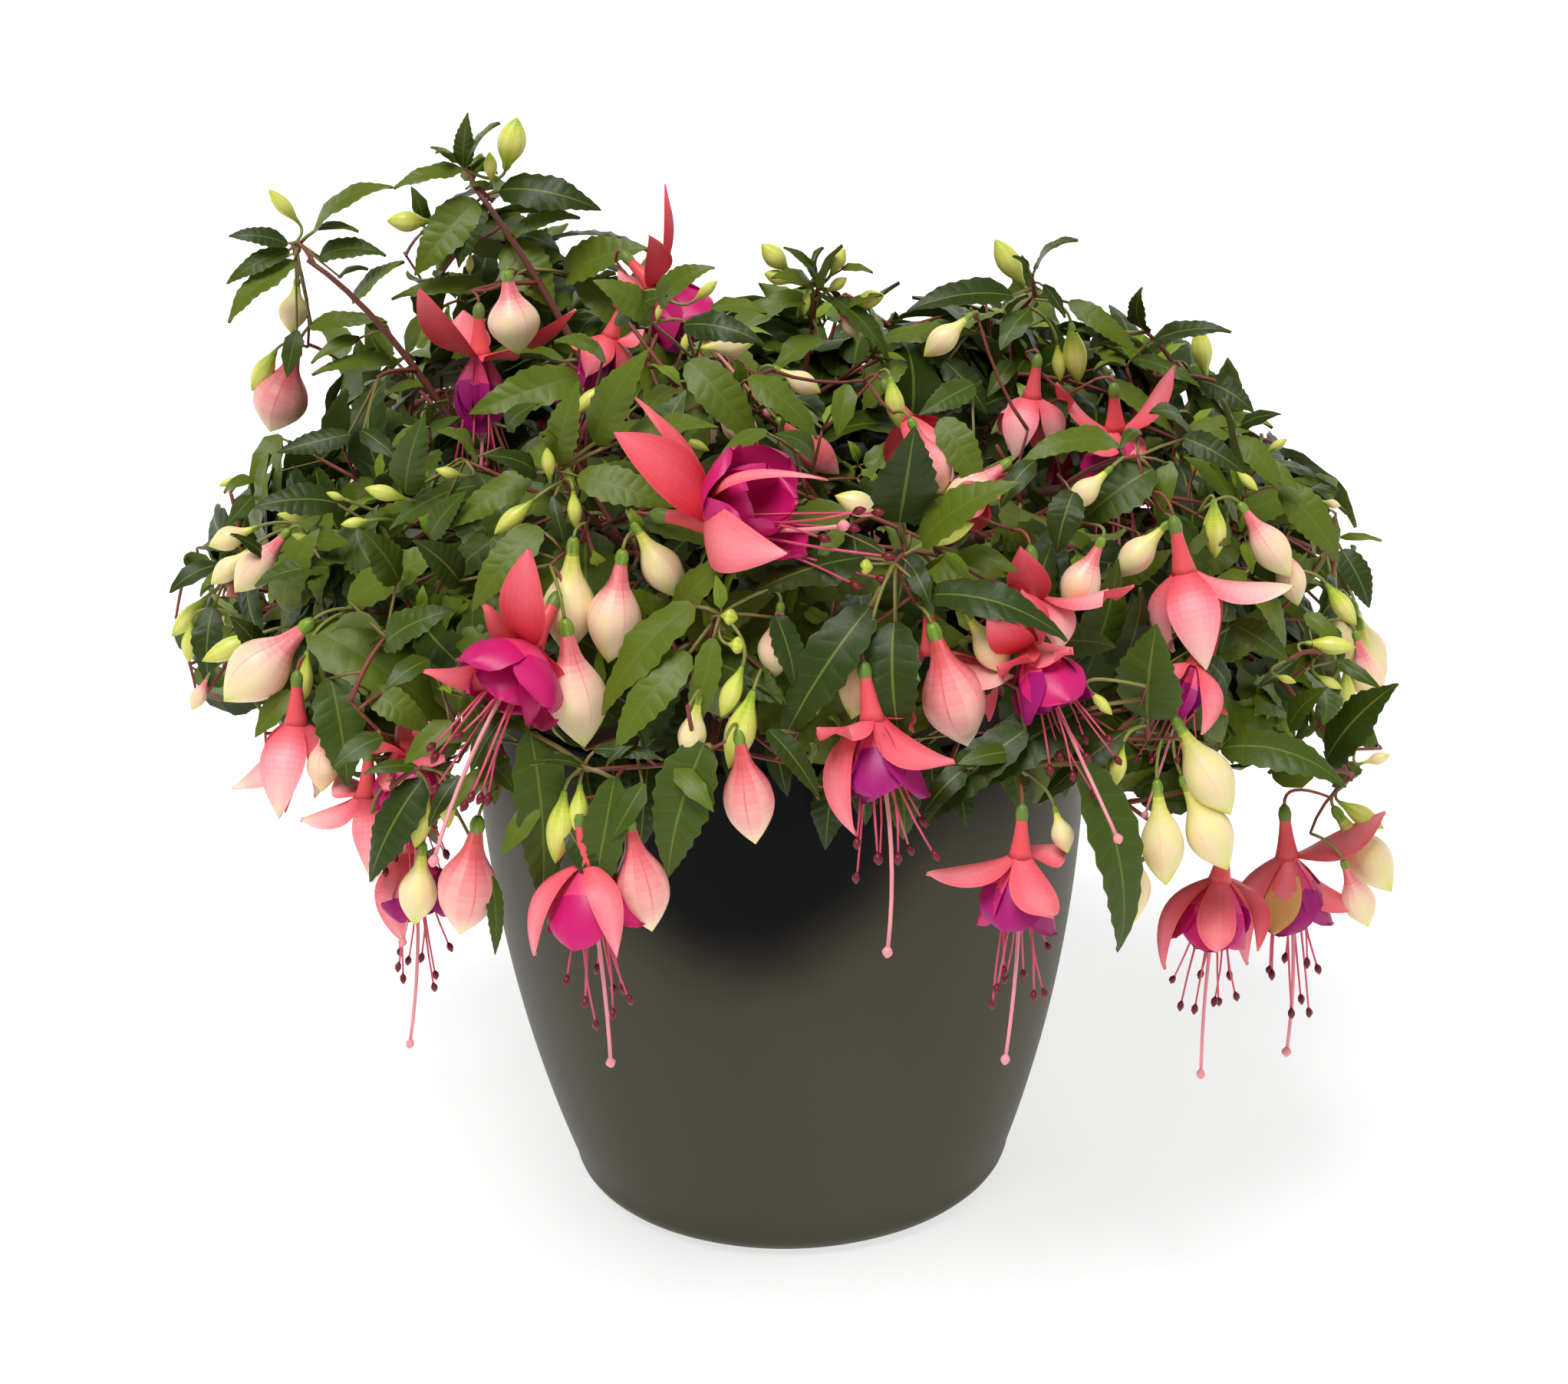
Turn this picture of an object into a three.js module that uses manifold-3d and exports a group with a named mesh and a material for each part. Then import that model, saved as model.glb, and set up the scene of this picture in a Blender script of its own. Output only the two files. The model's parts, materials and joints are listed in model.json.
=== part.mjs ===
// Potted fuchsia: a bushy, trailing shrub in flower, in a round dark grey pot.
// Millimetres, +Z up, the origin at the middle of the pot's flat underside, the photographed side at -Y.
// Angles round the pot are in degrees: 0 is +X (right), 90 the back, 180 the left, 270 the front.
import * as THREE from "three";
import { mergeVertices } from "three/addons/utils/BufferGeometryUtils.js";
import Module from "manifold-3d";

const wasm = await Module();
wasm.setup();

// Driving dimensions of the pot and its filling
const POT = {
  height: 204,
  rimRadius: 110,
  footRadius: 81,
  flatRadius: 67,
  footRound: 11,
  belly: 2.3,
  wall: 3.6,
  floor: 5,
  lip: 1.8,
  footSteps: 3,
  wallSteps: 5,
  insideSteps: [0.14, 0.5],
  segments: 32,
};
const SOIL = { top: 187, clearance: 0.4 };

// Driving dimensions of the plant's wood. Boughs leave the trunk at five levels, as shares of its height.
const GAP = 0.3;
const TRUNK = { foot: 13, radius: 8.5, tip: 6, height: 56, flare: 9, lean: 3, sides: 10, steps: 6 };
const LEVELS = [0.16, 0.33, 0.5, 0.67, 0.83];
const BOUGH = {
  base: 2.9,
  fork: 2.3,
  tip: 1.9,
  forksAt: 0.3,
  clearance: 0.42,
  highLevel: 3,
  lowBend: [0.5, 1],
  highBend: [0.28, 0.72],
  sides: 5,
  steps: 4,
};
const TWIG = { stem: 2.6, stemTip: 2.2, stemSteps: 3, stemBend: 0.45, radius: 1.1, sides: 3 };

// Driving dimensions of leaf, bud and bloom. A leaf is a little larger than life, as there are fewer here.
const LEAF = { length: 51, width: 26.5, widest: 0.44, thickness: 1.4, arch: 5, droop: 8, sunk: 0.4 };
const BUD = { length: 38, radius: 8.4, belly: 0.62, stalk: 24, sides: 4 };
const STALK = { radius: 1, root: 0.65, end: 0.85, rise: 0.4, nodes: [0.3, 0.5, 0.7, 0.9] };
const BLOOM = {
  tube: 20,
  tubeRadius: 4.5,
  sepalReach: 27,
  sepalDrop: 7,
  sepalRoot: 10,
  sepalThickness: 1,
  skirt: 22,
  skirtRadius: 15.5,
  hem: 2,
  style: 46,
  styleRadius: 1,
  styleRoot: 5,
  stalk: 24,
  points: 8,
};

// How far a foliage mass keeps off the pot and the next mass, and the smallest detail a solid keeps
const KEEP_OFF = { pot: 1.5, mass: 0.4, heights: [0.06, 0.3, 0.6, 1], segments: 24 };
const FINEST = 0.05;
const LEAST_TOUCH = 1e-6;

// How a shoot grows: twigs fan out over the crown's surface, each turned on from the last by the same angle,
// and leaves stand in pairs at the nodes. Whatever finds no room after some tries is skipped.
const GROWTH = {
  twigs: 7,
  firstTwig: 0.2,
  lastTwig: 0.92,
  turn: 137.5,
  stray: 40,
  outward: 0.35,
  forward: 0.25,
  nod: 0.15,
  shortest: 0.85,
  longest: 1.15,
  twigNodes: [0.96, 0.64, 0.32],
  stemNodes: [0.84, 0.66, 0.48, 0.3],
  tipPair: 0.98,
  tipSize: 0.7,
  budAt: 0.9,
  budAway: 12,
  budSize: [0.8, 1.15],
};

// How often each kind is tried again, and how each further try differs from the one before
const TRIES = { twig: 5, bud: 4, leaf: 10, bloom: 24 };
const RETRY = { twigOn: 0.15, leafSmaller: 0.03, bloomShift: 2.5, bloomInward: 0.015, bloomSmaller: 0.01 };

// How a leaf lies: how far it leans forward along its twig, out of the crown and down, and its size.
// Each runs from a least to a most.
// A twig counts as upright when it grows nearly straight out of the crown.
const LEAF_LIE = { forward: [0.3, 0.9], outward: [-0.05, 0.45], nod: [0, 0.4], size: [0.85, 1.15] };
const UPRIGHT_LIE = { ...LEAF_LIE, forward: [0.1, 0.4], nod: [0.2, 0.6] };
const UPRIGHT = 0.86;
const LEAF_FACE = { outward: 0.8, up: 0.45, tilt: -0.1, pairTurn: 90, pairStray: 70 };

// How far twigs spread in each tier of the crown, and how far each mass's space reaches past the middle
const TALL = { spread: 24, room: 28 };
const HIGH = { spread: 26, room: 0 };
const TOP = { spread: 32, room: 6 };
const UPPER = { spread: 34, room: 10 };
const LOWER = { spread: 38, room: 0 };

// Every shoot: where its bough ends and where its own tip is, each as [angle, distance out, height],
// and the trunk level or the other bough that its bough leaves. The centre one grows straight from the trunk.
// In the names fl is front left, fr front right, rb right back, br back right and bl back left.
const SHOOTS = [
  { ...TALL, name: "tall_left", level: 4, bough: [184, 58, 296], tip: [167, 104, 370] },
  { ...HIGH, name: "high_left", from: "tall_left", bough: [188, 104, 284], tip: [182, 156, 352] },
  { ...TOP, name: "centre_peak", level: 3, bough: [120, 44, 264], tip: [116, 74, 300] },
  { ...TOP, name: "centre_top", tip: [40, 20, 320] },
  { ...TOP, name: "right_peak", level: 3, bough: [8, 68, 274], tip: [16, 86, 316] },
  { ...TOP, name: "right_shoulder", from: "right_peak", bough: [4, 108, 258], tip: [4, 134, 300] },
  { ...TOP, name: "front_top", level: 3, bough: [238, 40, 276], tip: [242, 62, 318] },
  { ...UPPER, name: "left_upper", from: "left_lower", bough: [204, 98, 262], tip: [203, 140, 284] },
  { ...UPPER, name: "fl_upper", from: "fl_lower", bough: [240, 84, 268], tip: [240, 126, 298] },
  { ...UPPER, name: "front_upper", from: "front_lower", bough: [281, 80, 270], tip: [281, 126, 300] },
  { ...UPPER, name: "fr_upper", from: "fr_lower", bough: [320, 88, 264], tip: [322, 130, 290] },
  { ...UPPER, name: "right_upper", from: "right_lower", bough: [350, 112, 248], tip: [344, 160, 264] },
  { ...UPPER, name: "br_upper", from: "rb_lower", bough: [42, 92, 256], tip: [42, 142, 278] },
  { ...UPPER, name: "back_upper", from: "back_lower", bough: [84, 92, 248], tip: [84, 140, 262] },
  { ...UPPER, name: "bl_upper", from: "bl_lower", bough: [136, 92, 256], tip: [136, 142, 278] },
  { ...LOWER, name: "left_lower", level: 0, bough: [185, 122, 236], tip: [186, 186, 230] },
  { ...LOWER, name: "fl_lower", level: 1, bough: [225, 120, 236], tip: [225, 172, 206] },
  { ...LOWER, name: "front_lower", level: 2, bough: [262, 120, 237], tip: [262, 174, 222] },
  { ...LOWER, name: "fr_lower", level: 0, bough: [301, 120, 236], tip: [302, 174, 214] },
  { ...LOWER, name: "right_lower", level: 1, bough: [338, 122, 235], tip: [340, 192, 204] },
  { ...LOWER, name: "rb_lower", level: 2, bough: [20, 122, 236], tip: [20, 190, 216], blooms: 1 },
  { ...LOWER, name: "br_lower", level: 0, bough: [60, 120, 236], tip: [60, 174, 212], blooms: 1 },
  { ...LOWER, name: "back_lower", level: 1, bough: [102, 120, 236], tip: [102, 174, 216], blooms: 1 },
  { ...LOWER, name: "bl_lower", level: 2, bough: [143, 122, 236], tip: [143, 176, 220], blooms: 1 },
];

// The throats of the open blooms that show from the front, each as [x, y, z]. One is turned aside.
const FRONT_BLOOMS = [
  { at: [-123, -110, 162] },
  { at: [-64, -168, 186] },
  { at: [32, -186, 245] },
  { at: [75, -150, 178] },
  { at: [140, -98, 152] },
  { at: [182, -46, 144] },
  { at: [-86, -148, 266] },
  { at: [-34, -122, 302], aim: [0.9, -0.35, -0.1] },
  { at: [84, -140, 252] },
  { at: [150, -76, 246] },
  { at: [-168, -66, 196] },
  { at: [-38, 30, 330] },
  { at: [118, -14, 300] },
];

const DEGREE = Math.PI / 180;
const SEED = 7919;
const UP = new THREE.Vector3(0, 0, 1);
const DOWN = new THREE.Vector3(0, 0, -1);
const CROWN_CENTRE = new THREE.Vector3(0, 0, 190);
const TRUNK_TOP = new THREE.Vector3(0, 0, 262);
const MASS_MIDDLE = 0.62;

// A point from an angle round the pot, a distance out and a height
function place([angle, out, height]) {
  return new THREE.Vector3(out * Math.cos(angle * DEGREE), out * Math.sin(angle * DEGREE), height);
}

// A number between a least and a most
function within([least, most], share) {
  return least + (most - least) * share;
}

// Seeded random numbers from 0 to 1, the same on every run
function seeded(seed) {
  let state = seed;
  return () => {
    state = (state * 1664525 + 1013904223) % 4294967296;
    return state / 4294967296;
  };
}

// A closed geometry as a solid that can be joined and cut
function solidOf(geometry) {
  const bare = geometry.index ? geometry.toNonIndexed() : geometry.clone();
  bare.deleteAttribute("normal");
  bare.deleteAttribute("uv");
  const merged = mergeVertices(bare, 1e-4);
  const mesh = new wasm.Mesh({
    numProp: 3,
    vertProperties: new Float32Array(merged.attributes.position.array),
    triVerts: new Uint32Array(merged.index.array),
  });
  return new wasm.Manifold(mesh);
}

// A solid back as a geometry
function geometryOf(solid) {
  const mesh = solid.asOriginal().simplify(FINEST).getMesh();
  const positions = new Float32Array(mesh.numVert * 3);
  for (let i = 0; i < mesh.numVert; i += 1) {
    positions.set(mesh.vertProperties.subarray(i * mesh.numProp, i * mesh.numProp + 3), i * 3);
  }
  const geometry = new THREE.BufferGeometry();
  geometry.setAttribute("position", new THREE.BufferAttribute(positions, 3));
  geometry.setIndex(new THREE.BufferAttribute(new Uint32Array(mesh.triVerts), 1));
  geometry.computeVertexNormals();
  return geometry;
}

// A round form about the Z axis from a profile of [radius, height], starting and ending on the axis
function turned(profile, segments) {
  const points = profile.map(([radius, height]) => new THREE.Vector2(radius, height));
  return new THREE.LatheGeometry(points, segments).rotateX(Math.PI / 2);
}

// A closed round limb that tapers along a curve, made ring by ring and capped at both ends
function taperedLimb(curve, radiusAt, sides, steps) {
  const frames = curve.computeFrenetFrames(steps, false);
  const positions = [];
  const faces = [];
  for (let i = 0; i <= steps; i += 1) {
    const centre = curve.getPointAt(i / steps);
    const radius = radiusAt(i / steps);
    for (let j = 0; j < sides; j += 1) {
      const turn = (2 * Math.PI * j) / sides;
      const rim = centre
        .clone()
        .addScaledVector(frames.normals[i], radius * Math.cos(turn))
        .addScaledVector(frames.binormals[i], radius * Math.sin(turn));
      positions.push(rim.x, rim.y, rim.z);
    }
  }
  for (let i = 0; i < steps; i += 1) {
    for (let j = 0; j < sides; j += 1) {
      const a = i * sides + j;
      const b = i * sides + ((j + 1) % sides);
      faces.push(a, b, a + sides, b, b + sides, a + sides);
    }
  }
  const last = steps * sides;
  for (let j = 1; j < sides - 1; j += 1) {
    faces.push(0, j + 1, j);
    faces.push(last, last + j, last + j + 1);
  }
  const geometry = new THREE.BufferGeometry();
  geometry.setAttribute("position", new THREE.Float32BufferAttribute(positions, 3));
  geometry.setIndex(faces);
  return geometry;
}

// A matrix that puts X along a direction and Z as near as it can to a given upward side
function facing(origin, along, upward) {
  const x = along.clone().normalize();
  const y = new THREE.Vector3().crossVectors(upward, x).normalize();
  const z = new THREE.Vector3().crossVectors(x, y);
  return new THREE.Matrix4().makeBasis(x, y, z).setPosition(origin);
}

// Any unit direction square to the one given, as level as it can be
function sideOf(direction) {
  const side = new THREE.Vector3().crossVectors(direction, UP);
  return side.lengthSq() < 1e-4 ? new THREE.Vector3(1, 0, 0) : side.normalize();
}

// Pot: the outside curves in to a rounded foot, and the inside follows it at the wall's thickness
function wallRadius(height) {
  const share = Math.max(0, (height - POT.footRound) / (POT.height - POT.footRound));
  return POT.footRadius + (POT.rimRadius - POT.footRadius) * (1 - (1 - share) ** POT.belly);
}

function insideAt(share, clearance) {
  const height = POT.floor + (POT.height - POT.floor) * share;
  return [wallRadius(height) - POT.wall - clearance, height];
}

function potProfile() {
  const profile = [[0, 0], [POT.flatRadius, 0]];
  for (let i = 1; i < POT.footSteps; i += 1) {
    const turn = (i / POT.footSteps) * 0.5 * Math.PI;
    profile.push([
      POT.flatRadius + (POT.footRadius - POT.flatRadius) * Math.sin(turn),
      POT.footRound * (1 - Math.cos(turn)),
    ]);
  }
  for (let i = 0; i < POT.wallSteps; i += 1) {
    const height = POT.footRound + ((POT.height - POT.lip - POT.footRound) * i) / POT.wallSteps;
    profile.push([wallRadius(height), height]);
  }
  profile.push([POT.rimRadius, POT.height - POT.lip]);
  profile.push([POT.rimRadius - POT.wall / 2, POT.height]);
  profile.push([POT.rimRadius - POT.wall, POT.height - POT.lip]);
  for (const share of [...POT.insideSteps].reverse()) profile.push(insideAt(share, 0));
  profile.push([POT.flatRadius, POT.floor], [0, POT.floor]);
  return profile;
}

function potSolid() {
  return solidOf(turned(potProfile(), POT.segments));
}

// Potting mix: fills the pot to below the rim
function soilSolid() {
  const inside = POT.insideSteps.map((share) => insideAt(share, SOIL.clearance));
  const [lastRadius, lastHeight] = inside.at(-1);
  const rim = [POT.rimRadius - POT.wall - SOIL.clearance, POT.height - POT.lip];
  const topRadius = lastRadius + ((rim[0] - lastRadius) * (SOIL.top - lastHeight)) / (rim[1] - lastHeight);
  const foot = POT.floor + SOIL.clearance;
  const profile = [[0, foot], [POT.flatRadius - SOIL.clearance, foot], ...inside];
  profile.push([topRadius, SOIL.top], [0, SOIL.top]);
  return solidOf(turned(profile, POT.segments));
}

// Trunk: short, leaning a little, with a root flare and a flat cut at the soil
function trunkCurve() {
  const foot = SOIL.top + GAP;
  return new THREE.QuadraticBezierCurve3(
    new THREE.Vector3(0, 0, foot),
    new THREE.Vector3(0, 0, foot + TRUNK.height / 2),
    new THREE.Vector3(TRUNK.lean, TRUNK.lean, foot + TRUNK.height),
  );
}

function trunkRadius(share) {
  const flare = Math.max(0, 1 - (share * TRUNK.height) / TRUNK.flare);
  return TRUNK.radius + (TRUNK.tip - TRUNK.radius) * share + (TRUNK.foot - TRUNK.radius) * flare ** 2;
}

// Boughs: each leaves the trunk or another bough, rises, and arches out to where its mass begins.
// Low boughs rise before they arch. High ones and forks set out at once.
const limbs = new Map();

function boughCurve(shoot) {
  const end = place(shoot.bough);
  const start = shoot.from
    ? limbs.get(shoot.from).curve.getPointAt(BOUGH.forksAt)
    : limbs.get("trunk").curve.getPointAt(LEVELS[shoot.level]);
  const [outward, rise] = shoot.level < BOUGH.highLevel ? BOUGH.lowBend : BOUGH.highBend;
  const middle = new THREE.Vector3(
    start.x + (end.x - start.x) * outward,
    start.y + (end.y - start.y) * outward,
    start.z + (end.z - start.z) * rise,
  );
  return new THREE.QuadraticBezierCurve3(start, middle, end);
}

function boughSolid(shoot, curve, extra) {
  const base = shoot.from ? BOUGH.fork : BOUGH.base;
  const radiusAt = (share) => base + (BOUGH.tip - base) * share + extra;
  return solidOf(taperedLimb(curve, radiusAt, BOUGH.sides, BOUGH.steps));
}

function largestOf(solid) {
  return solid.decompose().reduce((a, b) => (a.volume() > b.volume() ? a : b));
}

// Every limb is kept with its curve and with a fatter copy, which cuts the seat of the limbs that leave it
function growLimbs() {
  const curve = trunkCurve();
  const trunkSolid = (extra) =>
    solidOf(taperedLimb(curve, (share) => trunkRadius(share) + extra, TRUNK.sides, TRUNK.steps));
  limbs.set("trunk", { curve, solid: trunkSolid(0), fat: trunkSolid(GAP) });
  const boughs = SHOOTS.filter((shoot) => shoot.bough);
  boughs.sort((a, b) => Number(Boolean(a.from)) - Number(Boolean(b.from)));
  for (const shoot of boughs) {
    const path = boughCurve(shoot);
    const seat = limbs.get(shoot.from ?? "trunk").fat;
    const solid = largestOf(boughSolid(shoot, path, 0).subtract(seat));
    limbs.set(shoot.name, { curve: path, solid, fat: boughSolid(shoot, path, BOUGH.clearance) });
  }
}

// A closed geometry from its corners and its faces
function polyhedron(corners, faces) {
  const geometry = new THREE.BufferGeometry();
  geometry.setAttribute("position", new THREE.Float32BufferAttribute(corners.flat(), 3));
  geometry.setIndex(faces.flat());
  return geometry;
}

// A leaf: root, tip, two edges and a raised midrib, arched along its length
const LEAF_FACES = [[0, 4, 2], [0, 3, 4], [0, 2, 3], [1, 2, 4], [1, 4, 3], [1, 3, 2]];

function leafGeometry(size) {
  const long = LEAF.length * size;
  const half = (LEAF.width * size) / 2;
  const arch = LEAF.arch * size;
  return polyhedron(
    [
      [0, 0, 0],
      [long, 0, -LEAF.droop * size],
      [long * LEAF.widest, half, arch],
      [long * LEAF.widest, -half, arch],
      [long * LEAF.widest, 0, arch + LEAF.thickness],
    ],
    LEAF_FACES,
  );
}

// A bud, from the end of its stalk along -Z
function budSolid(size) {
  const profile = [
    [0, -BUD.length * size],
    [BUD.radius * size, -BUD.length * size * BUD.belly],
    [STALK.radius, 0],
    [0, STALK.radius],
  ];
  return solidOf(turned(profile, BUD.sides));
}

// An open bloom, from the end of its stalk along -Z: tube, four spreading sepals, skirt and style.
// Each ring has a point at every sepal and one between each two.
function bloomSolid(size, styleShare) {
  const rings = [
    [0, STALK.radius, STALK.radius],
    [-BLOOM.tube, BLOOM.tubeRadius, BLOOM.tubeRadius],
    [-BLOOM.tube - BLOOM.sepalDrop, BLOOM.sepalReach, BLOOM.sepalRoot],
    [-BLOOM.tube - BLOOM.sepalDrop - BLOOM.sepalThickness, BLOOM.sepalRoot, BLOOM.sepalRoot - 1],
    [-BLOOM.tube - BLOOM.skirt + BLOOM.hem, BLOOM.skirtRadius, BLOOM.skirtRadius],
  ];
  const points = BLOOM.points;
  const corners = [[0, 0, STALK.radius * size]];
  for (const [height, atSepal, between] of rings) {
    for (let j = 0; j < points; j += 1) {
      const turn = (j * 2 * Math.PI) / points;
      const radius = (j % 2 ? between : atSepal) * size;
      corners.push([radius * Math.cos(turn), radius * Math.sin(turn), height * size]);
    }
  }
  corners.push([0, 0, (-BLOOM.tube - BLOOM.skirt) * size]);
  const faces = [];
  for (let j = 0; j < points; j += 1) {
    const next = (j + 1) % points;
    faces.push([0, 1 + j, 1 + next]);
    for (let i = 0; i < rings.length - 1; i += 1) {
      const upper = 1 + i * points;
      const lower = upper + points;
      faces.push([upper + j, lower + j, lower + next], [upper + j, lower + next, upper + next]);
    }
    const last = 1 + (rings.length - 1) * points;
    faces.push([corners.length - 1, last + next, last + j]);
  }
  const hem = (-BLOOM.tube - BLOOM.skirt) * size;
  const root = hem + BLOOM.styleRoot;
  const style = [[0, hem - BLOOM.style * size * styleShare], [BLOOM.styleRadius, root], [0, root]];
  return solidOf(polyhedron(corners, faces)).add(solidOf(turned(style, TWIG.sides)));
}

// What each mass keeps clear of: the pot and every limb
function keepOutSolid() {
  const outside = [[0, -1], [POT.footRadius + KEEP_OFF.pot, -1]];
  for (const share of KEEP_OFF.heights) {
    const height = POT.height * share;
    outside.push([wallRadius(height) + KEEP_OFF.pot, height]);
  }
  outside.push([POT.rimRadius + KEEP_OFF.pot, POT.height + KEEP_OFF.pot], [0, POT.height + KEEP_OFF.pot]);
  const fat = [...limbs.values()].map((limb) => limb.fat);
  return wasm.Manifold.union([solidOf(turned(outside, KEEP_OFF.segments)), ...fat]);
}

// The stem of a mass carries on from its bough and bends to the shoot's tip
function stemCurve(shoot) {
  const limb = limbs.get(shoot.bough ? shoot.name : "trunk");
  const heading = limb.curve.getTangentAt(1);
  const start = limb.curve.getPointAt(1).addScaledVector(heading, GAP);
  const tip = place(shoot.tip);
  const bend = start.clone().addScaledVector(heading, tip.distanceTo(start) * TWIG.stemBend);
  return new THREE.QuadraticBezierCurve3(start, bend, tip);
}

function outwardAt(point) {
  return point.clone().sub(CROWN_CENTRE).normalize();
}

// Twig number i of a shoot, where a fraction moves it along and turns it a little
function twigCurve(shoot, stem, i, random) {
  const spacing = (GROWTH.lastTwig - GROWTH.firstTwig) / (GROWTH.twigs - 1);
  const share = Math.min(GROWTH.lastTwig, GROWTH.firstTwig + spacing * i);
  const start = stem.getPointAt(share);
  const outward = outwardAt(start);
  const turn = (i * GROWTH.turn + GROWTH.stray * random()) * DEGREE;
  const direction = sideOf(outward).applyAxisAngle(outward, turn);
  direction.addScaledVector(outward, GROWTH.outward);
  direction.addScaledVector(stem.getTangentAt(share), GROWTH.forward);
  direction.z -= GROWTH.nod;
  const length = shoot.spread * within([GROWTH.shortest, GROWTH.longest], random());
  return new THREE.LineCurve3(start, start.clone().addScaledVector(direction.normalize(), length));
}

function pairTurn(pair, share) {
  return (pair * LEAF_FACE.pairTurn + LEAF_FACE.pairStray * share) * DEGREE;
}

// Leaves stand in opposite pairs along a twig, nod, and lie over one another, their faces out of the crown.
// On an upright twig the pairs stand all round it, each turned square to the last.
function leafSolid(curve, share, hand, pair, size, random) {
  const node = curve.getPointAt(share);
  const heading = curve.getTangentAt(share);
  const outward = outwardAt(node);
  const isUpright = heading.dot(outward) > UPRIGHT;
  const lie = isUpright ? UPRIGHT_LIE : LEAF_LIE;
  const side = isUpright
    ? sideOf(heading).applyAxisAngle(heading, pairTurn(pair, random()))
    : new THREE.Vector3().crossVectors(outward, heading).normalize();
  side.multiplyScalar(hand);
  const along = heading.clone().multiplyScalar(within(lie.forward, random())).add(side);
  along.addScaledVector(outward, within(lie.outward, random()));
  along.z -= within(lie.nod, random());
  along.normalize();
  const face = isUpright ? UP.clone() : outward.clone().multiplyScalar(LEAF_FACE.outward);
  if (!isUpright) face.addScaledVector(UP, LEAF_FACE.up);
  face.addScaledVector(side, LEAF_FACE.tilt);
  const scale = size * within(lie.size, random());
  const root = node.clone().addScaledVector(along, -LEAF.sunk);
  return solidOf(leafGeometry(scale).applyMatrix4(facing(root, along, face)));
}

// The middle of each mass's space. Planes between these middles part the crown into the spaces.
const centres = SHOOTS.map((shoot) => {
  const inner = shoot.bough ? place(shoot.bough) : TRUNK_TOP.clone();
  return inner.lerp(place(shoot.tip), MASS_MIDDLE);
});

function ownerOf(point) {
  const away = centres.map((centre) => centre.distanceTo(point));
  return away.indexOf(Math.min(...away));
}

function inOwnSpace(solid, index) {
  const mesh = solid.getMesh();
  const point = new THREE.Vector3();
  for (let i = 0; i < mesh.numVert; i += 1) {
    point.fromArray(mesh.vertProperties, i * mesh.numProp);
    for (let j = 0; j < centres.length; j += 1) {
      if (j === index) continue;
      const between = centres[j].clone().sub(centres[index]);
      const apart = between.length();
      const along = point.clone().sub(centres[index]).dot(between) / apart;
      const wall = (apart + SHOOTS[index].room - SHOOTS[j].room) / 2;
      if (along > wall - KEEP_OFF.mass) return false;
    }
  }
  return true;
}

function touches(a, b) {
  return a.intersect(b).volume() > LEAST_TOUCH;
}

// A bud or bloom with a stalk from the nearest free node of a limb, which bends over and hangs down to it
function hungFrom(limb, top, aim, solid) {
  let nearest = { far: Infinity };
  for (const share of STALK.nodes.filter((free) => !limb.taken.has(free))) {
    const node = limb.curve.getPointAt(share);
    const far = node.distanceTo(top) + Math.max(0, top.z - node.z) * 2;
    if (far < nearest.far) nearest = { node, far, share };
  }
  const above = top.clone().addScaledVector(aim, -nearest.far * STALK.rise);
  const end = top.clone().addScaledVector(aim, STALK.radius);
  const path = new THREE.QuadraticBezierCurve3(nearest.node, above, end);
  const stalk = solidOf(taperedLimb(path, (share) => within([STALK.root, STALK.end], share), TWIG.sides, 2));
  const turn = new THREE.Quaternion().setFromUnitVectors(DOWN, aim);
  const matrix = new THREE.Matrix4().compose(top, turn, new THREE.Vector3(1, 1, 1));
  return { own: limb, share: nearest.share, solid: solid.transform(matrix.elements).add(stalk) };
}

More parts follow.
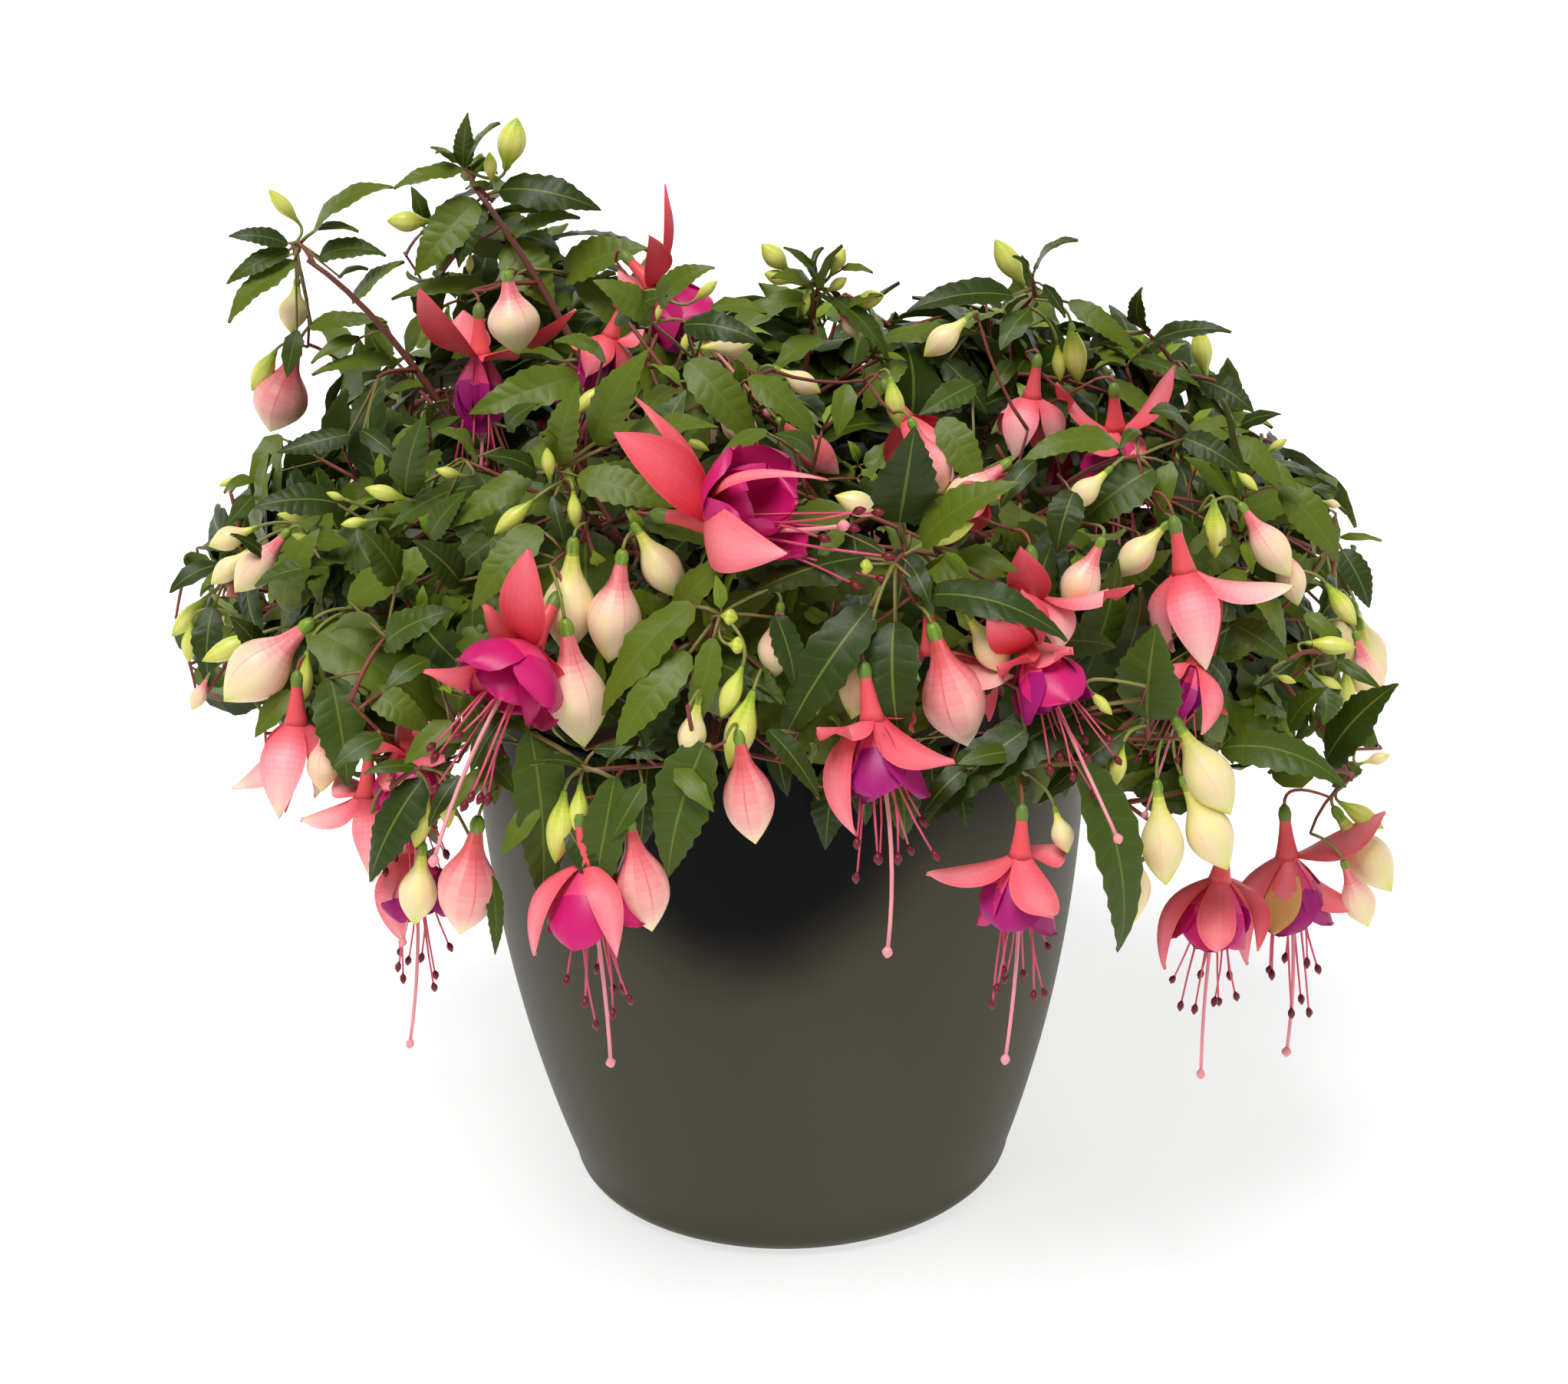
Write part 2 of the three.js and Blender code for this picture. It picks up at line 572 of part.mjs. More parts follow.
// One foliage mass: stem, blooms, twigs, leaves and buds, each kept only where it finds room
class Mass {
  constructor(shoot, index, keepOut) {
    this.shoot = shoot;
    this.index = index;
    this.keepOut = keepOut;
    this.random = seeded(SEED * (index + 1));
    this.parts = [];
    this.stem = this.limb(stemCurve(shoot), TWIG.stem, TWIG.stemTip, TWIG.stemSteps);
    this.wood = [this.stem];
  }

  limb(curve, from, to, steps) {
    const radiusAt = (share) => from + (to - from) * share;
    return { curve, solid: solidOf(taperedLimb(curve, radiusAt, TWIG.sides, steps)), taken: new Set() };
  }

  isFree(solid, own) {
    return (
      inOwnSpace(solid, this.index) &&
      !touches(solid, this.keepOut) &&
      !this.parts.some((part) => touches(part, solid)) &&
      !this.wood.some((limb) => limb !== own && touches(limb.solid, solid))
    );
  }

  addFirstFree(tries, make) {
    for (let attempt = 0; attempt < tries; attempt += 1) {
      const { solid, own, share } = make(attempt);
      if (this.isFree(solid, own)) {
        this.parts.push(solid);
        if (share) own.taken.add(share);
        return;
      }
    }
  }

  hangFrontBlooms() {
    const stray = () => this.random() - 0.5;
    for (const bloom of FRONT_BLOOMS) {
      const throat = new THREE.Vector3(...bloom.at);
      if (ownerOf(throat) !== this.index) continue;
      const aim = bloom.aim ? new THREE.Vector3(...bloom.aim).normalize() : DOWN;
      this.addFirstFree(TRIES.bloom, (attempt) => {
        const shift = new THREE.Vector3(stray(), stray(), stray()).multiplyScalar(attempt * RETRY.bloomShift);
        const top = throat.clone().add(shift).lerp(centres[this.index], attempt * RETRY.bloomInward);
        top.addScaledVector(aim, -BLOOM.tube);
        const solid = bloomSolid(1 - attempt * RETRY.bloomSmaller, 1 - attempt / TRIES.bloom);
        return hungFrom(this.stem, top, aim, solid);
      });
    }
  }

  growTwigs() {
    for (let i = 0; i < GROWTH.twigs; i += 1) {
      for (let attempt = 0; attempt < TRIES.twig; attempt += 1) {
        const curve = twigCurve(this.shoot, this.stem.curve, i + attempt * RETRY.twigOn, this.random);
        const twig = this.limb(curve, TWIG.radius, TWIG.radius, 1);
        if (this.isFree(twig.solid, this.stem)) {
          this.wood.push(twig);
          break;
        }
      }
    }
  }

  hangFromTwig(twig, isBloom) {
    const node = twig.curve.getPointAt(GROWTH.budAt);
    const away = outwardAt(node).setZ(0).normalize();
    this.addFirstFree(TRIES.bud, () => {
      const top = node.clone().addScaledVector(away, GROWTH.budAway * this.random());
      top.z -= isBloom ? BLOOM.stalk : BUD.stalk;
      const solid = isBloom ? bloomSolid(1, 1) : budSolid(within(GROWTH.budSize, this.random()));
      return hungFrom(twig, top, DOWN, solid);
    });
  }

  addPair(limb, share, pair, size) {
    for (const hand of [-1, 1]) {
      this.addFirstFree(TRIES.leaf, (attempt) => {
        const smaller = size * (1 - attempt * RETRY.leafSmaller);
        return { solid: leafSolid(limb.curve, share, hand, pair, smaller, this.random), own: limb };
      });
    }
  }

  grow() {
    this.hangFrontBlooms();
    this.growTwigs();
    this.addPair(this.stem, GROWTH.tipPair, 0, GROWTH.tipSize);
    this.wood.slice(1).forEach((twig, i) => {
      const isBloom = i < (this.shoot.blooms ?? 0);
      if (isBloom || i % 2 === 1) this.hangFromTwig(twig, isBloom);
      GROWTH.twigNodes.forEach((share, pair) => this.addPair(twig, share, pair, 1));
    });
    GROWTH.stemNodes.forEach((share, pair) => this.addPair(this.stem, share, pair + 1, 1));
    return largestOf(wasm.Manifold.union([...this.parts, ...this.wood.map(({ solid }) => solid)]));
  }
}

// Colours and finish of each sub-part
const materials = {
  pot: new THREE.MeshStandardMaterial({ color: 0x55514a, roughness: 0.5, metalness: 0 }),
  soil: new THREE.MeshStandardMaterial({ color: 0x2c2019, roughness: 1, metalness: 0 }),
  wood: new THREE.MeshStandardMaterial({ color: 0x6b3a2c, roughness: 0.8, metalness: 0 }),
  foliage: new THREE.MeshStandardMaterial({ color: 0x33562c, roughness: 0.6, metalness: 0 }),
};

const fuchsia = new THREE.Group();

function addNode(name, solid, material) {
  const mesh = new THREE.Mesh(geometryOf(solid), material);
  mesh.name = name;
  fuchsia.add(mesh);
}

growLimbs();
addNode("pot", potSolid(), materials.pot);
addNode("soil", soilSolid(), materials.soil);
limbs.forEach((limb, name) => addNode(name === "trunk" ? name : `bough_${name}`, limb.solid, materials.wood));
const keepOut = keepOutSolid();
SHOOTS.forEach((shoot, index) => {
  addNode(`foliage_${shoot.name}`, new Mass(shoot, index, keepOut).grow(), materials.foliage);
});

export default fuchsia;
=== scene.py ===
# Potted fuchsia: the looks of a bushy, trailing shrub in flower, in a round dark pot.
# Lengths are millimetres until a mesh is made, +Z is up, and the photographed side is at -Y, as in the CAD.
# Angles round the pot are in degrees: 0 is +X (right), 90 the back, 180 the left, 270 the front.
import functools
import json
import math

import bpy
import numpy as np
from mathutils import Matrix, Vector

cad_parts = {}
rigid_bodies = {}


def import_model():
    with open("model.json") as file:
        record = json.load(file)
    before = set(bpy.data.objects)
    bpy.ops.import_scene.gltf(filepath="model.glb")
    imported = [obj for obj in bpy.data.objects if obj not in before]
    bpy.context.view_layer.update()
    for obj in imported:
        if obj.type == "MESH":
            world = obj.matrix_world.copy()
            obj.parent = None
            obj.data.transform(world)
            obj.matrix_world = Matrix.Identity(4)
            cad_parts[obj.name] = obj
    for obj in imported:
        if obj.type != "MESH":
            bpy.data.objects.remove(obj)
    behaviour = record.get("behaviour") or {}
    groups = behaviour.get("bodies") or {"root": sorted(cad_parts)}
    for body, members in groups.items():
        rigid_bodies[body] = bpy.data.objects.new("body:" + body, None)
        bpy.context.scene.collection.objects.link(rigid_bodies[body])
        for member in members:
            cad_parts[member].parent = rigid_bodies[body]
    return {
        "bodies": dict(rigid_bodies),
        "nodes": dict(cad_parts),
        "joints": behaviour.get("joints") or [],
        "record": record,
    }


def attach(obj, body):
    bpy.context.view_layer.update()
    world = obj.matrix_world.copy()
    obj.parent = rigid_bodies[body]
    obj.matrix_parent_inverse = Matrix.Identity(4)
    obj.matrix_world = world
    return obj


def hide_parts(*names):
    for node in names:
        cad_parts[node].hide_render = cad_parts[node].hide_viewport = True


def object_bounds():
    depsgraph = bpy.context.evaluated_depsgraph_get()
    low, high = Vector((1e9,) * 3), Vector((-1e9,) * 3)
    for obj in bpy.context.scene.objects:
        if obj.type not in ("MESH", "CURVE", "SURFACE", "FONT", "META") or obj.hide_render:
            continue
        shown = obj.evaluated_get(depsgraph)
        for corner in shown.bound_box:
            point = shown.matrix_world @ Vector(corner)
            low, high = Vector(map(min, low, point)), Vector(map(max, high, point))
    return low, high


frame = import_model()
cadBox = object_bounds()
print("stage: frame loaded")

mm = 0.001
up = np.array([0.0, 0.0, 1.0])


# Small helpers. The first two take one vector or an array of them.
def unit(vector):
    return vector / np.linalg.norm(vector, axis=-1, keepdims=True)


def dot(a, b):
    return np.sum(a * b, axis=-1, keepdims=True)


def turnedAbout(vector, axis, angle):
    turned = vector * math.cos(angle) + np.cross(axis, vector) * math.sin(angle)
    return turned + axis * axis.dot(vector) * (1 - math.cos(angle))


def sideOf(direction):  # level and square to a direction
    side = np.cross(direction, up)
    return np.array([1.0, 0.0, 0.0]) if side.dot(side) < 1e-4 else unit(side)


def levelWay(turn):  # the level direction at an angle from +X
    return np.array([math.cos(turn), math.sin(turn), 0])


def place(spot):  # from an angle round the pot, a distance out and a height
    angle, out, height = spot
    return levelWay(math.radians(angle)) * out + up * height


def turnsOf(sides):  # the angles that share out a full turn
    return np.arange(sides) * 2 * math.pi / sides


def column(things, name, default=None):  # one value of each of many things
    return np.array([thing.get(name, default) for thing in things])


def within(limits, share):
    return limits[0] + (limits[1] - limits[0]) * share


def stray(random, share):  # a factor round 1, at most the share away from it
    return 1 - share + 2 * share * random()


def swing(random, width):  # a number round 0, at most half the width away from it
    return width * (random() - 0.5)


def seeded(seed):  # the CAD's own random numbers, the same on every run
    state = [seed]

    def draw():
        state[0] = (state[0] * 1664525 + 1013904223) % 4294967296
        return state[0] / 4294967296

    return draw


def onArch(start, bend, end, t):
    return start * (1 - t) ** 2 + bend * 2 * t * (1 - t) + end * t**2


# A curve from a start to an end, pulled toward a bend. A share of it is a share of its length.
class Arch:
    def __init__(self, start, bend, end):
        self.guides = [np.array(guide, float) for guide in (start, bend, end)]
        self.steps = np.linspace(0, 1, 65)
        lengths = np.linalg.norm(np.diff(onArch(*self.guides, self.steps[:, None]), axis=0), axis=1)
        self.reached = np.concatenate([[0], np.cumsum(lengths)])

    def parameter(self, share):
        return np.interp(share * self.reached[-1], self.reached, self.steps)

    def at(self, share):
        return onArch(*self.guides, self.parameter(share))

    def heading(self, share):
        start, bend, end = self.guides
        t = self.parameter(share)
        return unit((bend - start) * (1 - t) + (end - bend) * t)


# Materials: maths on a socket is written as maths, and any other node comes from Finish.node
class Value:
    def __init__(self, finish, socket):
        self.finish = finish
        self.socket = socket

    def maths(self, operation, a, b):
        return self.finish.node("ShaderNodeMath", {"operation": operation}, {0: a, 1: b})

    def __add__(self, other):
        return self.maths("ADD", self, other)

    def __radd__(self, other):
        return self.maths("ADD", other, self)

    def __sub__(self, other):
        return self.maths("SUBTRACT", self, other)

    def __rsub__(self, other):
        return self.maths("SUBTRACT", other, self)

    def __mul__(self, other):
        return self.maths("MULTIPLY", self, other)

    def __rmul__(self, other):
        return self.maths("MULTIPLY", other, self)


def tint(red, green, blue):  # a colour as a screen shows it, 0 to 255
    def linear(level):
        level /= 255
        return level / 12.92 if level <= 0.04045 else ((level + 0.055) / 1.055) ** 2.4

    return (linear(red), linear(green), linear(blue), 1)


class Finish:
    def __init__(self, name, **constants):
        self.material = bpy.data.materials.new(name)
        self.material.use_nodes = True
        self.tree = self.material.node_tree
        self.shader = self.tree.nodes["Principled BSDF"]
        self.set(**constants)
        self.material.diffuse_color = constants["Base_Color"]

    def node(self, kind, settings=None, sockets=None, output=0):
        made = self.tree.nodes.new(kind)
        for setting, value in (settings or {}).items():
            setattr(made, setting, value)
        for socket, value in (sockets or {}).items():
            self.feed(made.inputs[socket], value)
        return Value(self, made.outputs[output])

    def feed(self, socket, value):
        if isinstance(value, Value):
            self.tree.links.new(value.socket, socket)
        else:
            socket.default_value = value

    def set(self, **sockets):
        for socket, value in sockets.items():
            self.feed(self.shader.inputs[socket.replace("_", " ")], value)

    def noise(self, scale, detail=3, roughness=0.5):
        spot = self.node("ShaderNodeTexCoord", output="Object")
        sockets = {"Vector": spot, "Scale": scale, "Detail": detail, "Roughness": roughness}
        return self.node("ShaderNodeTexNoise", {"noise_dimensions": "3D"}, sockets)

    def bump(self, height, strength, distance):
        sockets = {"Height": height, "Strength": strength, "Distance": distance * mm}
        self.set(Normal=self.node("ShaderNodeBump", None, sockets))

    def mix(self, share, a, b):  # from colour a at 0 to colour b at 1
        return self.node("ShaderNodeMix", {"data_type": "RGBA"}, {0: share, 6: a, 7: b}, output=2)

    def eased(self, value, low, high):  # smoothly from 0 at low to 1 at high
        sockets = {"Value": value, "From Min": low, "From Max": high}
        return self.node("ShaderNodeMapRange", {"interpolation_type": "SMOOTHSTEP"}, sockets)


# A living surface: one plain colour with a fine grain in its relief and its gloss
def livingFinish(name, colour, rough, grain, relief, gloss=0.4, through=0.0):
    finish = Finish(name, Base_Color=colour, Roughness=rough, Specular_IOR_Level=gloss)
    if through:
        finish.set(Subsurface_Weight=through, Subsurface_Scale=2 * mm, Subsurface_Radius=(1, 0.5, 0.3))
    pattern = finish.noise(grain)
    finish.bump(pattern, 0.35, relief)
    finish.set(Roughness=rough - 0.08 + pattern * 0.16)
    return finish.material


def livingFinishes(shades, *look, **more):
    return [livingFinish(name, shade, *look, **more) for name, shade in shades.items()]


def addObject(name, data):
    made = bpy.data.objects.new(name, data)
    bpy.context.scene.collection.objects.link(made)
    return made


# Meshes: a bundle gathers the points, triangles and tones of everything that is joined into one piece
class Bundle:
    def __init__(self):
        self.points = []
        self.faces = []
        self.tones = []
        self.count = 0

    # points is (copies, points in each, 3). tones is one number, one per copy, or one per copy and face.
    def add(self, points, faces, tones):
        points = np.asarray(points, float)
        points = points if points.ndim == 3 else points[None]
        copies, each = points.shape[:2]
        if copies == 0:
            return
        tones = np.asarray(tones)
        tones = tones[:, None] if tones.ndim == 1 and len(tones) == copies and copies > 1 else tones
        starts = self.count + each * np.arange(copies)
        self.points.append(points.reshape(-1, 3))
        self.faces.append((faces[None] + starts[:, None, None]).reshape(-1, 3))
        self.tones.append(np.broadcast_to(tones, (copies, len(faces))).reshape(-1))
        self.count += copies * each

    def piece(self, name, finishes, stands=()):
        points = np.concatenate(self.points) * mm
        faces = np.concatenate(self.faces).astype(np.int32)
        tones = np.concatenate(self.tones).astype(np.int32)
        mesh = bpy.data.meshes.new(name)
        mesh.vertices.add(len(points))
        mesh.vertices.foreach_set("co", points.ravel())
        mesh.loops.add(len(faces) * 3)
        mesh.loops.foreach_set("vertex_index", faces.ravel())
        mesh.polygons.add(len(faces))
        mesh.polygons.foreach_set("loop_start", np.arange(len(faces), dtype=np.int32) * 3)
        mesh.polygons.foreach_set("material_index", tones)
        mesh.polygons.foreach_set("use_smooth", np.ones(len(faces), bool))
        for finish in finishes:
            mesh.materials.append(finish)
        mesh.update(calc_edges=True)
        mesh.validate()
        made = addObject(name, mesh)
        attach(made, "root")
        if stands:
            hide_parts(*stands)
        print(f"stage: {name} has {len(faces)} triangles")


# Triangles of a grid of rows and columns of points. A wrapped grid closes round into a tube.
@functools.lru_cache(maxsize=None)
def gridFaces(rows, columns, wrapped=False):
    across = columns if wrapped else columns - 1
    row, step = np.meshgrid(np.arange(rows - 1), np.arange(across), indexing="ij")
    a = (row * columns + step).ravel()
    b = (row * columns + (step + 1) % columns).ravel()
    return np.concatenate([np.stack([a, b, a + columns], 1), np.stack([b, b + columns, a + columns], 1)])


# Triangles of a tube of rings, closed at both ends
@functools.lru_cache(maxsize=None)
def tubeFaces(rings, sides):
    last = (rings - 1) * sides
    caps = [[0, i + 1, i] for i in range(1, sides - 1)]
    caps += [[last, last + i, last + i + 1] for i in range(1, sides - 1)]
    return np.concatenate([gridFaces(rings, sides, True), np.array(caps)])


# Many round limbs at once, each along its own arch. radii holds one radius per ring, the same for all or
# one row per limb. relief, where given, is one factor per ring and side.
def tubes(starts, bends, ends, radii, sides, relief=None):
    a, b, c = (np.atleast_2d(guide)[:, None] for guide in (starts, bends, ends))
    radii = np.atleast_2d(radii)
    t = np.linspace(0, 1, radii.shape[1])[None, :, None]
    path = onArch(a, b, c, t)
    heading = unit((b - a) * (1 - t) + (c - b) * t + 1e-9)
    flat = np.cross(b - a, c - b)
    level = np.cross(c - a, up + np.array([0.013, 0.007, 0]))  # for a straight limb, upright ones too
    flat = np.where(np.linalg.norm(flat, axis=-1, keepdims=True) > 1e-3, flat, level)
    normal = unit(flat + 0 * heading)
    across = np.cross(heading, normal)
    turn = turnsOf(sides)[:, None]
    ring = normal[:, :, None] * np.cos(turn) + across[:, :, None] * np.sin(turn)
    width = radii[:, :, None, None] * (1 if relief is None else relief[None, :, :, None])
    return (path[:, :, None] + ring * width).reshape(len(path), -1, 3)


# A camera at the photograph's viewing angle, and a line of sight through a pixel of the photograph
view = {
    "distance": 1300,
    "elevation": 22.3,
    "target": (1.5, 0, 186.6),
    "roll": -1.6,
    "lens": 83.45,
    "sensor": 36,
    "width": 2044,
    "height": 1804,
}


def cameraMatrix():
    tilt = math.radians(view["elevation"])
    target = Vector(view["target"])
    eye = target + Vector((0, -math.cos(tilt), math.sin(tilt))) * view["distance"]
    roll = Matrix.Rotation(math.radians(view["roll"]), 3, "Z")
    return eye, (target - eye).to_track_quat("-Z", "Y").to_matrix() @ roll


def lineOfSight(pixel):
    eye, turn = cameraMatrix()
    scale = view["sensor"] / view["lens"] / view["width"]
    across, rise = pixel[0] - view["width"] / 2, view["height"] / 2 - pixel[1]
    ray = turn @ Vector((across * scale, rise * scale, -1))
    return np.array(eye), np.array(ray.normalized())


def pixelsOf(points):
    eye, turn = cameraMatrix()
    seen = (np.asarray(points) - np.array(eye)) @ np.array(turn)
    scale = view["lens"] / view["sensor"] * view["width"]
    across = view["width"] / 2 - seen[..., 0] / seen[..., 2] * scale
    return np.stack([across, view["height"] / 2 + seen[..., 1] / seen[..., 2] * scale], -1)


eyePoint = np.array(cameraMatrix()[0])


def seenAt(pixel, depth):  # the point that shows at a pixel, as far back as depth along Y
    eye, ray = lineOfSight(pixel)
    return eye + ray * (depth - eye[1]) / ray[1]


# The crown's rough outer form, on which things placed by a pixel lie unless their depth is given
crown = {"middle": 205, "half": 205, "deep": 196, "above": 158, "below": 135}


def onCrown(pixel):
    eye, ray = lineOfSight(pixel)
    reach = np.arange(950, 1500, 2.0)[:, None]
    points = eye + ray * reach
    rise = points[:, 2] - crown["middle"]
    tall = np.where(rise > 0, crown["above"], crown["below"])
    fill = (points[:, 0] / crown["half"]) ** 2 + (points[:, 1] / crown["deep"]) ** 2 + (rise / tall) ** 2
    inside = np.nonzero(fill < 1)[0]
    return points[inside[0]] if len(inside) else points[np.argmin(fill)]


def spotSeen(pixel, depth=None):
    return onCrown(pixel) if depth is None else seenAt(pixel, depth)


# The outline of the crown's main body in the photograph, without the shoots that stand above it
bodyOutline = np.array([
    (222, 735), (220, 835), (256, 905), (340, 965), (440, 1050), (485, 1130), (640, 1215), (770, 1190),
    (865, 1120), (1010, 1020), (1180, 1045), (1330, 1085), (1470, 1190), (1545, 1085), (1650, 1045),
    (1795, 1030), (1815, 905), (1768, 840), (1790, 725), (1738, 660), (1690, 605), (1650, 550), (1612, 505),
    (1545, 450), (1450, 425), (1400, 404), (1345, 378), (1290, 388), (1180, 412), (1120, 392), (1062, 360),
    (1010, 398), (950, 410), (880, 412), (845, 335), (790, 300), (750, 256), (640, 190), (560, 215),
    (535, 290), (512, 380), (465, 430), (436, 490), (425, 565), (366, 605), (310, 655), (262, 705),
], float)

# How low the rule's leaves and twigs may hang, in front of the pot and elsewhere
hem = {"front": 205, "round": 150, "frontDepth": -100, "frontHalf": 110}


# Whether points are where the photograph lets the crown be: inside its outline, its box and above its hem
def hasRoom(points, slack=3.0):
    points = np.asarray(points, float)
    pixels = pixelsOf(points)
    inside = np.zeros(points.shape[:-1], bool)
    for (x0, y0), (x1, y1) in zip(bodyOutline, np.roll(bodyOutline, -1, axis=0)):
        crosses = (y0 > pixels[..., 1]) != (y1 > pixels[..., 1])
        edge = x0 + (pixels[..., 1] - y0) * (x1 - x0) / (y1 - y0 if y1 != y0 else 1)
        inside ^= crosses & (pixels[..., 0] < edge)
    reach = np.array(cadBox) / mm
    inBox = np.all((points > reach[0] - slack) & (points < reach[1] + slack), axis=-1)
    isFront = (points[..., 1] < hem["frontDepth"]) & (np.abs(points[..., 0]) < hem["frontHalf"])
    return inside & inBox & (points[..., 2] > np.where(isFront, hem["front"], hem["round"]))


# Pot: a smooth round form with a rounded foot and rim
pot = {
    "height": 204,
    "rimRadius": 110,
    "footRadius": 81,
    "flatRadius": 67,
    "footRound": 11,
    "lip": 2.4,
    "belly": 2.3,
    "wall": 3.6,
    "floor": 5,
    "hollow": (6, 9, 0.6),  # under the foot: where it begins and is full, in from the edge, and its height
    "sides": 128,
    "clouds": (9, 4, 0.55),
    "grain": (1400, 2),
    "colour": tint(69, 66, 54),
    "worn": tint(82, 78, 64),
    # the near-black of the painted shade toward the rim and of the painted shadow in front
    "shade": tint(3, 3, 3),
    "shadeReach": (0.15, 0.206),  # heights in metres between which painted shade darkens the wall toward the rim
    "shadowSpot": (-0.014, -0.108, 0.188),  # middle of a painted shadow in front, where the crown hangs low
    "shadowReach": (0.076, 0.038),  # how far from there the painted shadow begins and is full
}


def wallRadius(height):
    share = np.clip((height - pot["footRound"]) / (pot["height"] - pot["footRound"]), 0, 1)
    return pot["footRadius"] + (pot["rimRadius"] - pot["footRadius"]) * (1 - (1 - share) ** pot["belly"])


def potProfile():  # out and up, from the middle of the underside to the middle of the floor inside
    flat, foot, half = pot["flatRadius"], pot["footRound"], pot["wall"] / 2
    top = pot["height"] - pot["lip"]
    begin, full, rise = pot["hollow"]
    profile = [(0.5, rise), (flat - full, rise), (flat - begin, 0)]
    for turn in np.linspace(0, math.pi / 2, 9):
        profile.append((flat + (pot["footRadius"] - flat) * math.sin(turn), foot * (1 - math.cos(turn))))
    profile += [(wallRadius(height), height) for height in np.linspace(foot, top, 28)[1:]]
    for turn in np.linspace(0, math.pi, 11)[1:-1]:
        profile.append((pot["rimRadius"] - half + half * math.cos(turn), top + pot["lip"] * math.sin(turn)))
    inner = np.linspace(top, pot["floor"], 14)[1:]
    profile += [(wallRadius(height) - pot["wall"], height) for height in inner]
    profile.append((0.5, pot["floor"]))
    return np.array(profile)


def turnedPoints(profile, sides):
    turn = turnsOf(sides)
    ring = np.stack([np.cos(turn), np.sin(turn)], 1)[None]
    points = [profile[:, None, :1] * ring, profile[:, None, 1:] + 0 * ring[:, :, :1]]
    return np.concatenate(points, 2).reshape(1, -1, 3)


def potFinish():  # painted shade: the wall darkens up toward the rim, and a painted shadow darkens it most in front, under the crown
    finish = Finish("pot_satin", Base_Color=pot["colour"], Specular_IOR_Level=0.09)
    clouds, grain = finish.noise(*pot["clouds"]), finish.noise(*pot["grain"])
    spot = finish.node("ShaderNodeTexCoord", output="Object")
    height = finish.node("ShaderNodeSeparateXYZ", None, {"Vector": spot}, output=2)
    ends = {0: spot, 1: pot["shadowSpot"]}
    away = finish.node("ShaderNodeVectorMath", {"operation": "DISTANCE"}, ends, output=1)
    # painted shade toward the rim, and a painted shadow in front where the crown overhangs
    shade = finish.eased(height + clouds * 0.016 - 0.008, *pot["shadeReach"])
    dark = finish.eased(away + clouds * 0.03 - 0.015, *pot["shadowReach"])
    wall = finish.mix(shade, finish.mix(clouds, pot["colour"], pot["worn"]), pot["shade"])
    finish.set(Base_Color=finish.mix(dark, wall, pot["shade"]))
    finish.set(Roughness=0.34 + clouds * 0.14 + grain * 0.06)
    finish.bump(grain + clouds * 3, 0.25, 0.12)
    return finish.material


def makePot():
    profile = potProfile()
    bundle = Bundle()
    bundle.add(turnedPoints(profile, pot["sides"]), tubeFaces(len(profile), pot["sides"]), 0)
    bundle.piece("pot_shell", [potFinish()], ["pot"])


# Potting mix: the CAD's solid with a dark crumbly finish, and loose crumbs over it
soil = {
    "top": 187,
    "radius": 102,
    "rise": 2.2,
    "rings": 46,
    "sides": 110,
    "colour": tint(46, 34, 27),
    "dark": tint(30, 22, 18),
    "pale": tint(74, 56, 42),
    "coarse": (260, 6, 0.65),
    "fine": (1200, 4, 0.6),
}


def soilFinish():
    finish = Finish("potting_mix", Base_Color=soil["colour"], Roughness=0.95)
    coarse, fine = finish.noise(*soil["coarse"]), finish.noise(*soil["fine"])
    finish.set(Base_Color=finish.mix(coarse, soil["dark"], soil["pale"]))
    finish.bump(coarse + fine * 0.5, 0.9, 1.6)
    return finish.material


def makeSoil(finish):
    materials = frame["nodes"]["soil"].data.materials
    materials.clear()
    materials.append(finish)
    share = np.linspace(0.01, 1, soil["rings"])[:, None]
    turn = turnsOf(soil["sides"])[None]
    x, y = share * soil["radius"] * np.cos(turn), share * soil["radius"] * np.sin(turn)
    bumps = np.sin(x * 0.9 + np.sin(y * 0.7) * 2) + np.sin(y * 1.1 + np.sin(x * 0.5) * 2.4)
    bumps += np.sin(x * 2.3 + y * 1.7) * 0.5 + np.sin(x * 1.9 - y * 2.9) * 0.5
    height = soil["top"] + 0.2 + soil["rise"] * (0.5 + bumps / 6) * (1 - share**8)
    bundle = Bundle()
    bundle.add(np.stack([x, y, height], 2).reshape(1, -1, 3), tubeFaces(soil["rings"], soil["sides"]), 0)
    bundle.piece("soil_crumbs", [finish])


# Wood: the trunk and boughs stand where the CAD has them, with bark in relief
gap = 0.3
trunk = {"foot": 13, "radius": 8.5, "tip": 6, "height": 56, "flare": 9, "lean": 3, "sides": 40, "rings": 60}
bark = {"trunk": (0.07, 11, 5), "bough": (0.06, 5, 7)}  # depth, furrows round the limb and nodes along it
levels = [0.16, 0.33, 0.5, 0.67, 0.83]
bough = {
    "base": 2.9,
    "fork": 2.3,
    "tip": 1.9,
    "forksAt": 0.3,
    "highLevel": 3,
    "lowBend": (0.5, 1),
    "highBend": (0.28, 0.72),
    "sides": 14,
    "rings": 40,
}


def trunkCurve():
    foot = soil["top"] + gap
    lean, height = trunk["lean"], trunk["height"]
    return Arch((0, 0, foot), (0, 0, foot + height / 2), (lean, lean, foot + height))


def trunkRadius(share):
    flare = np.maximum(0, 1 - share * trunk["height"] / trunk["flare"])
    straight = trunk["radius"] + (trunk["tip"] - trunk["radius"]) * share
    return straight + (trunk["foot"] - trunk["radius"]) * flare**2


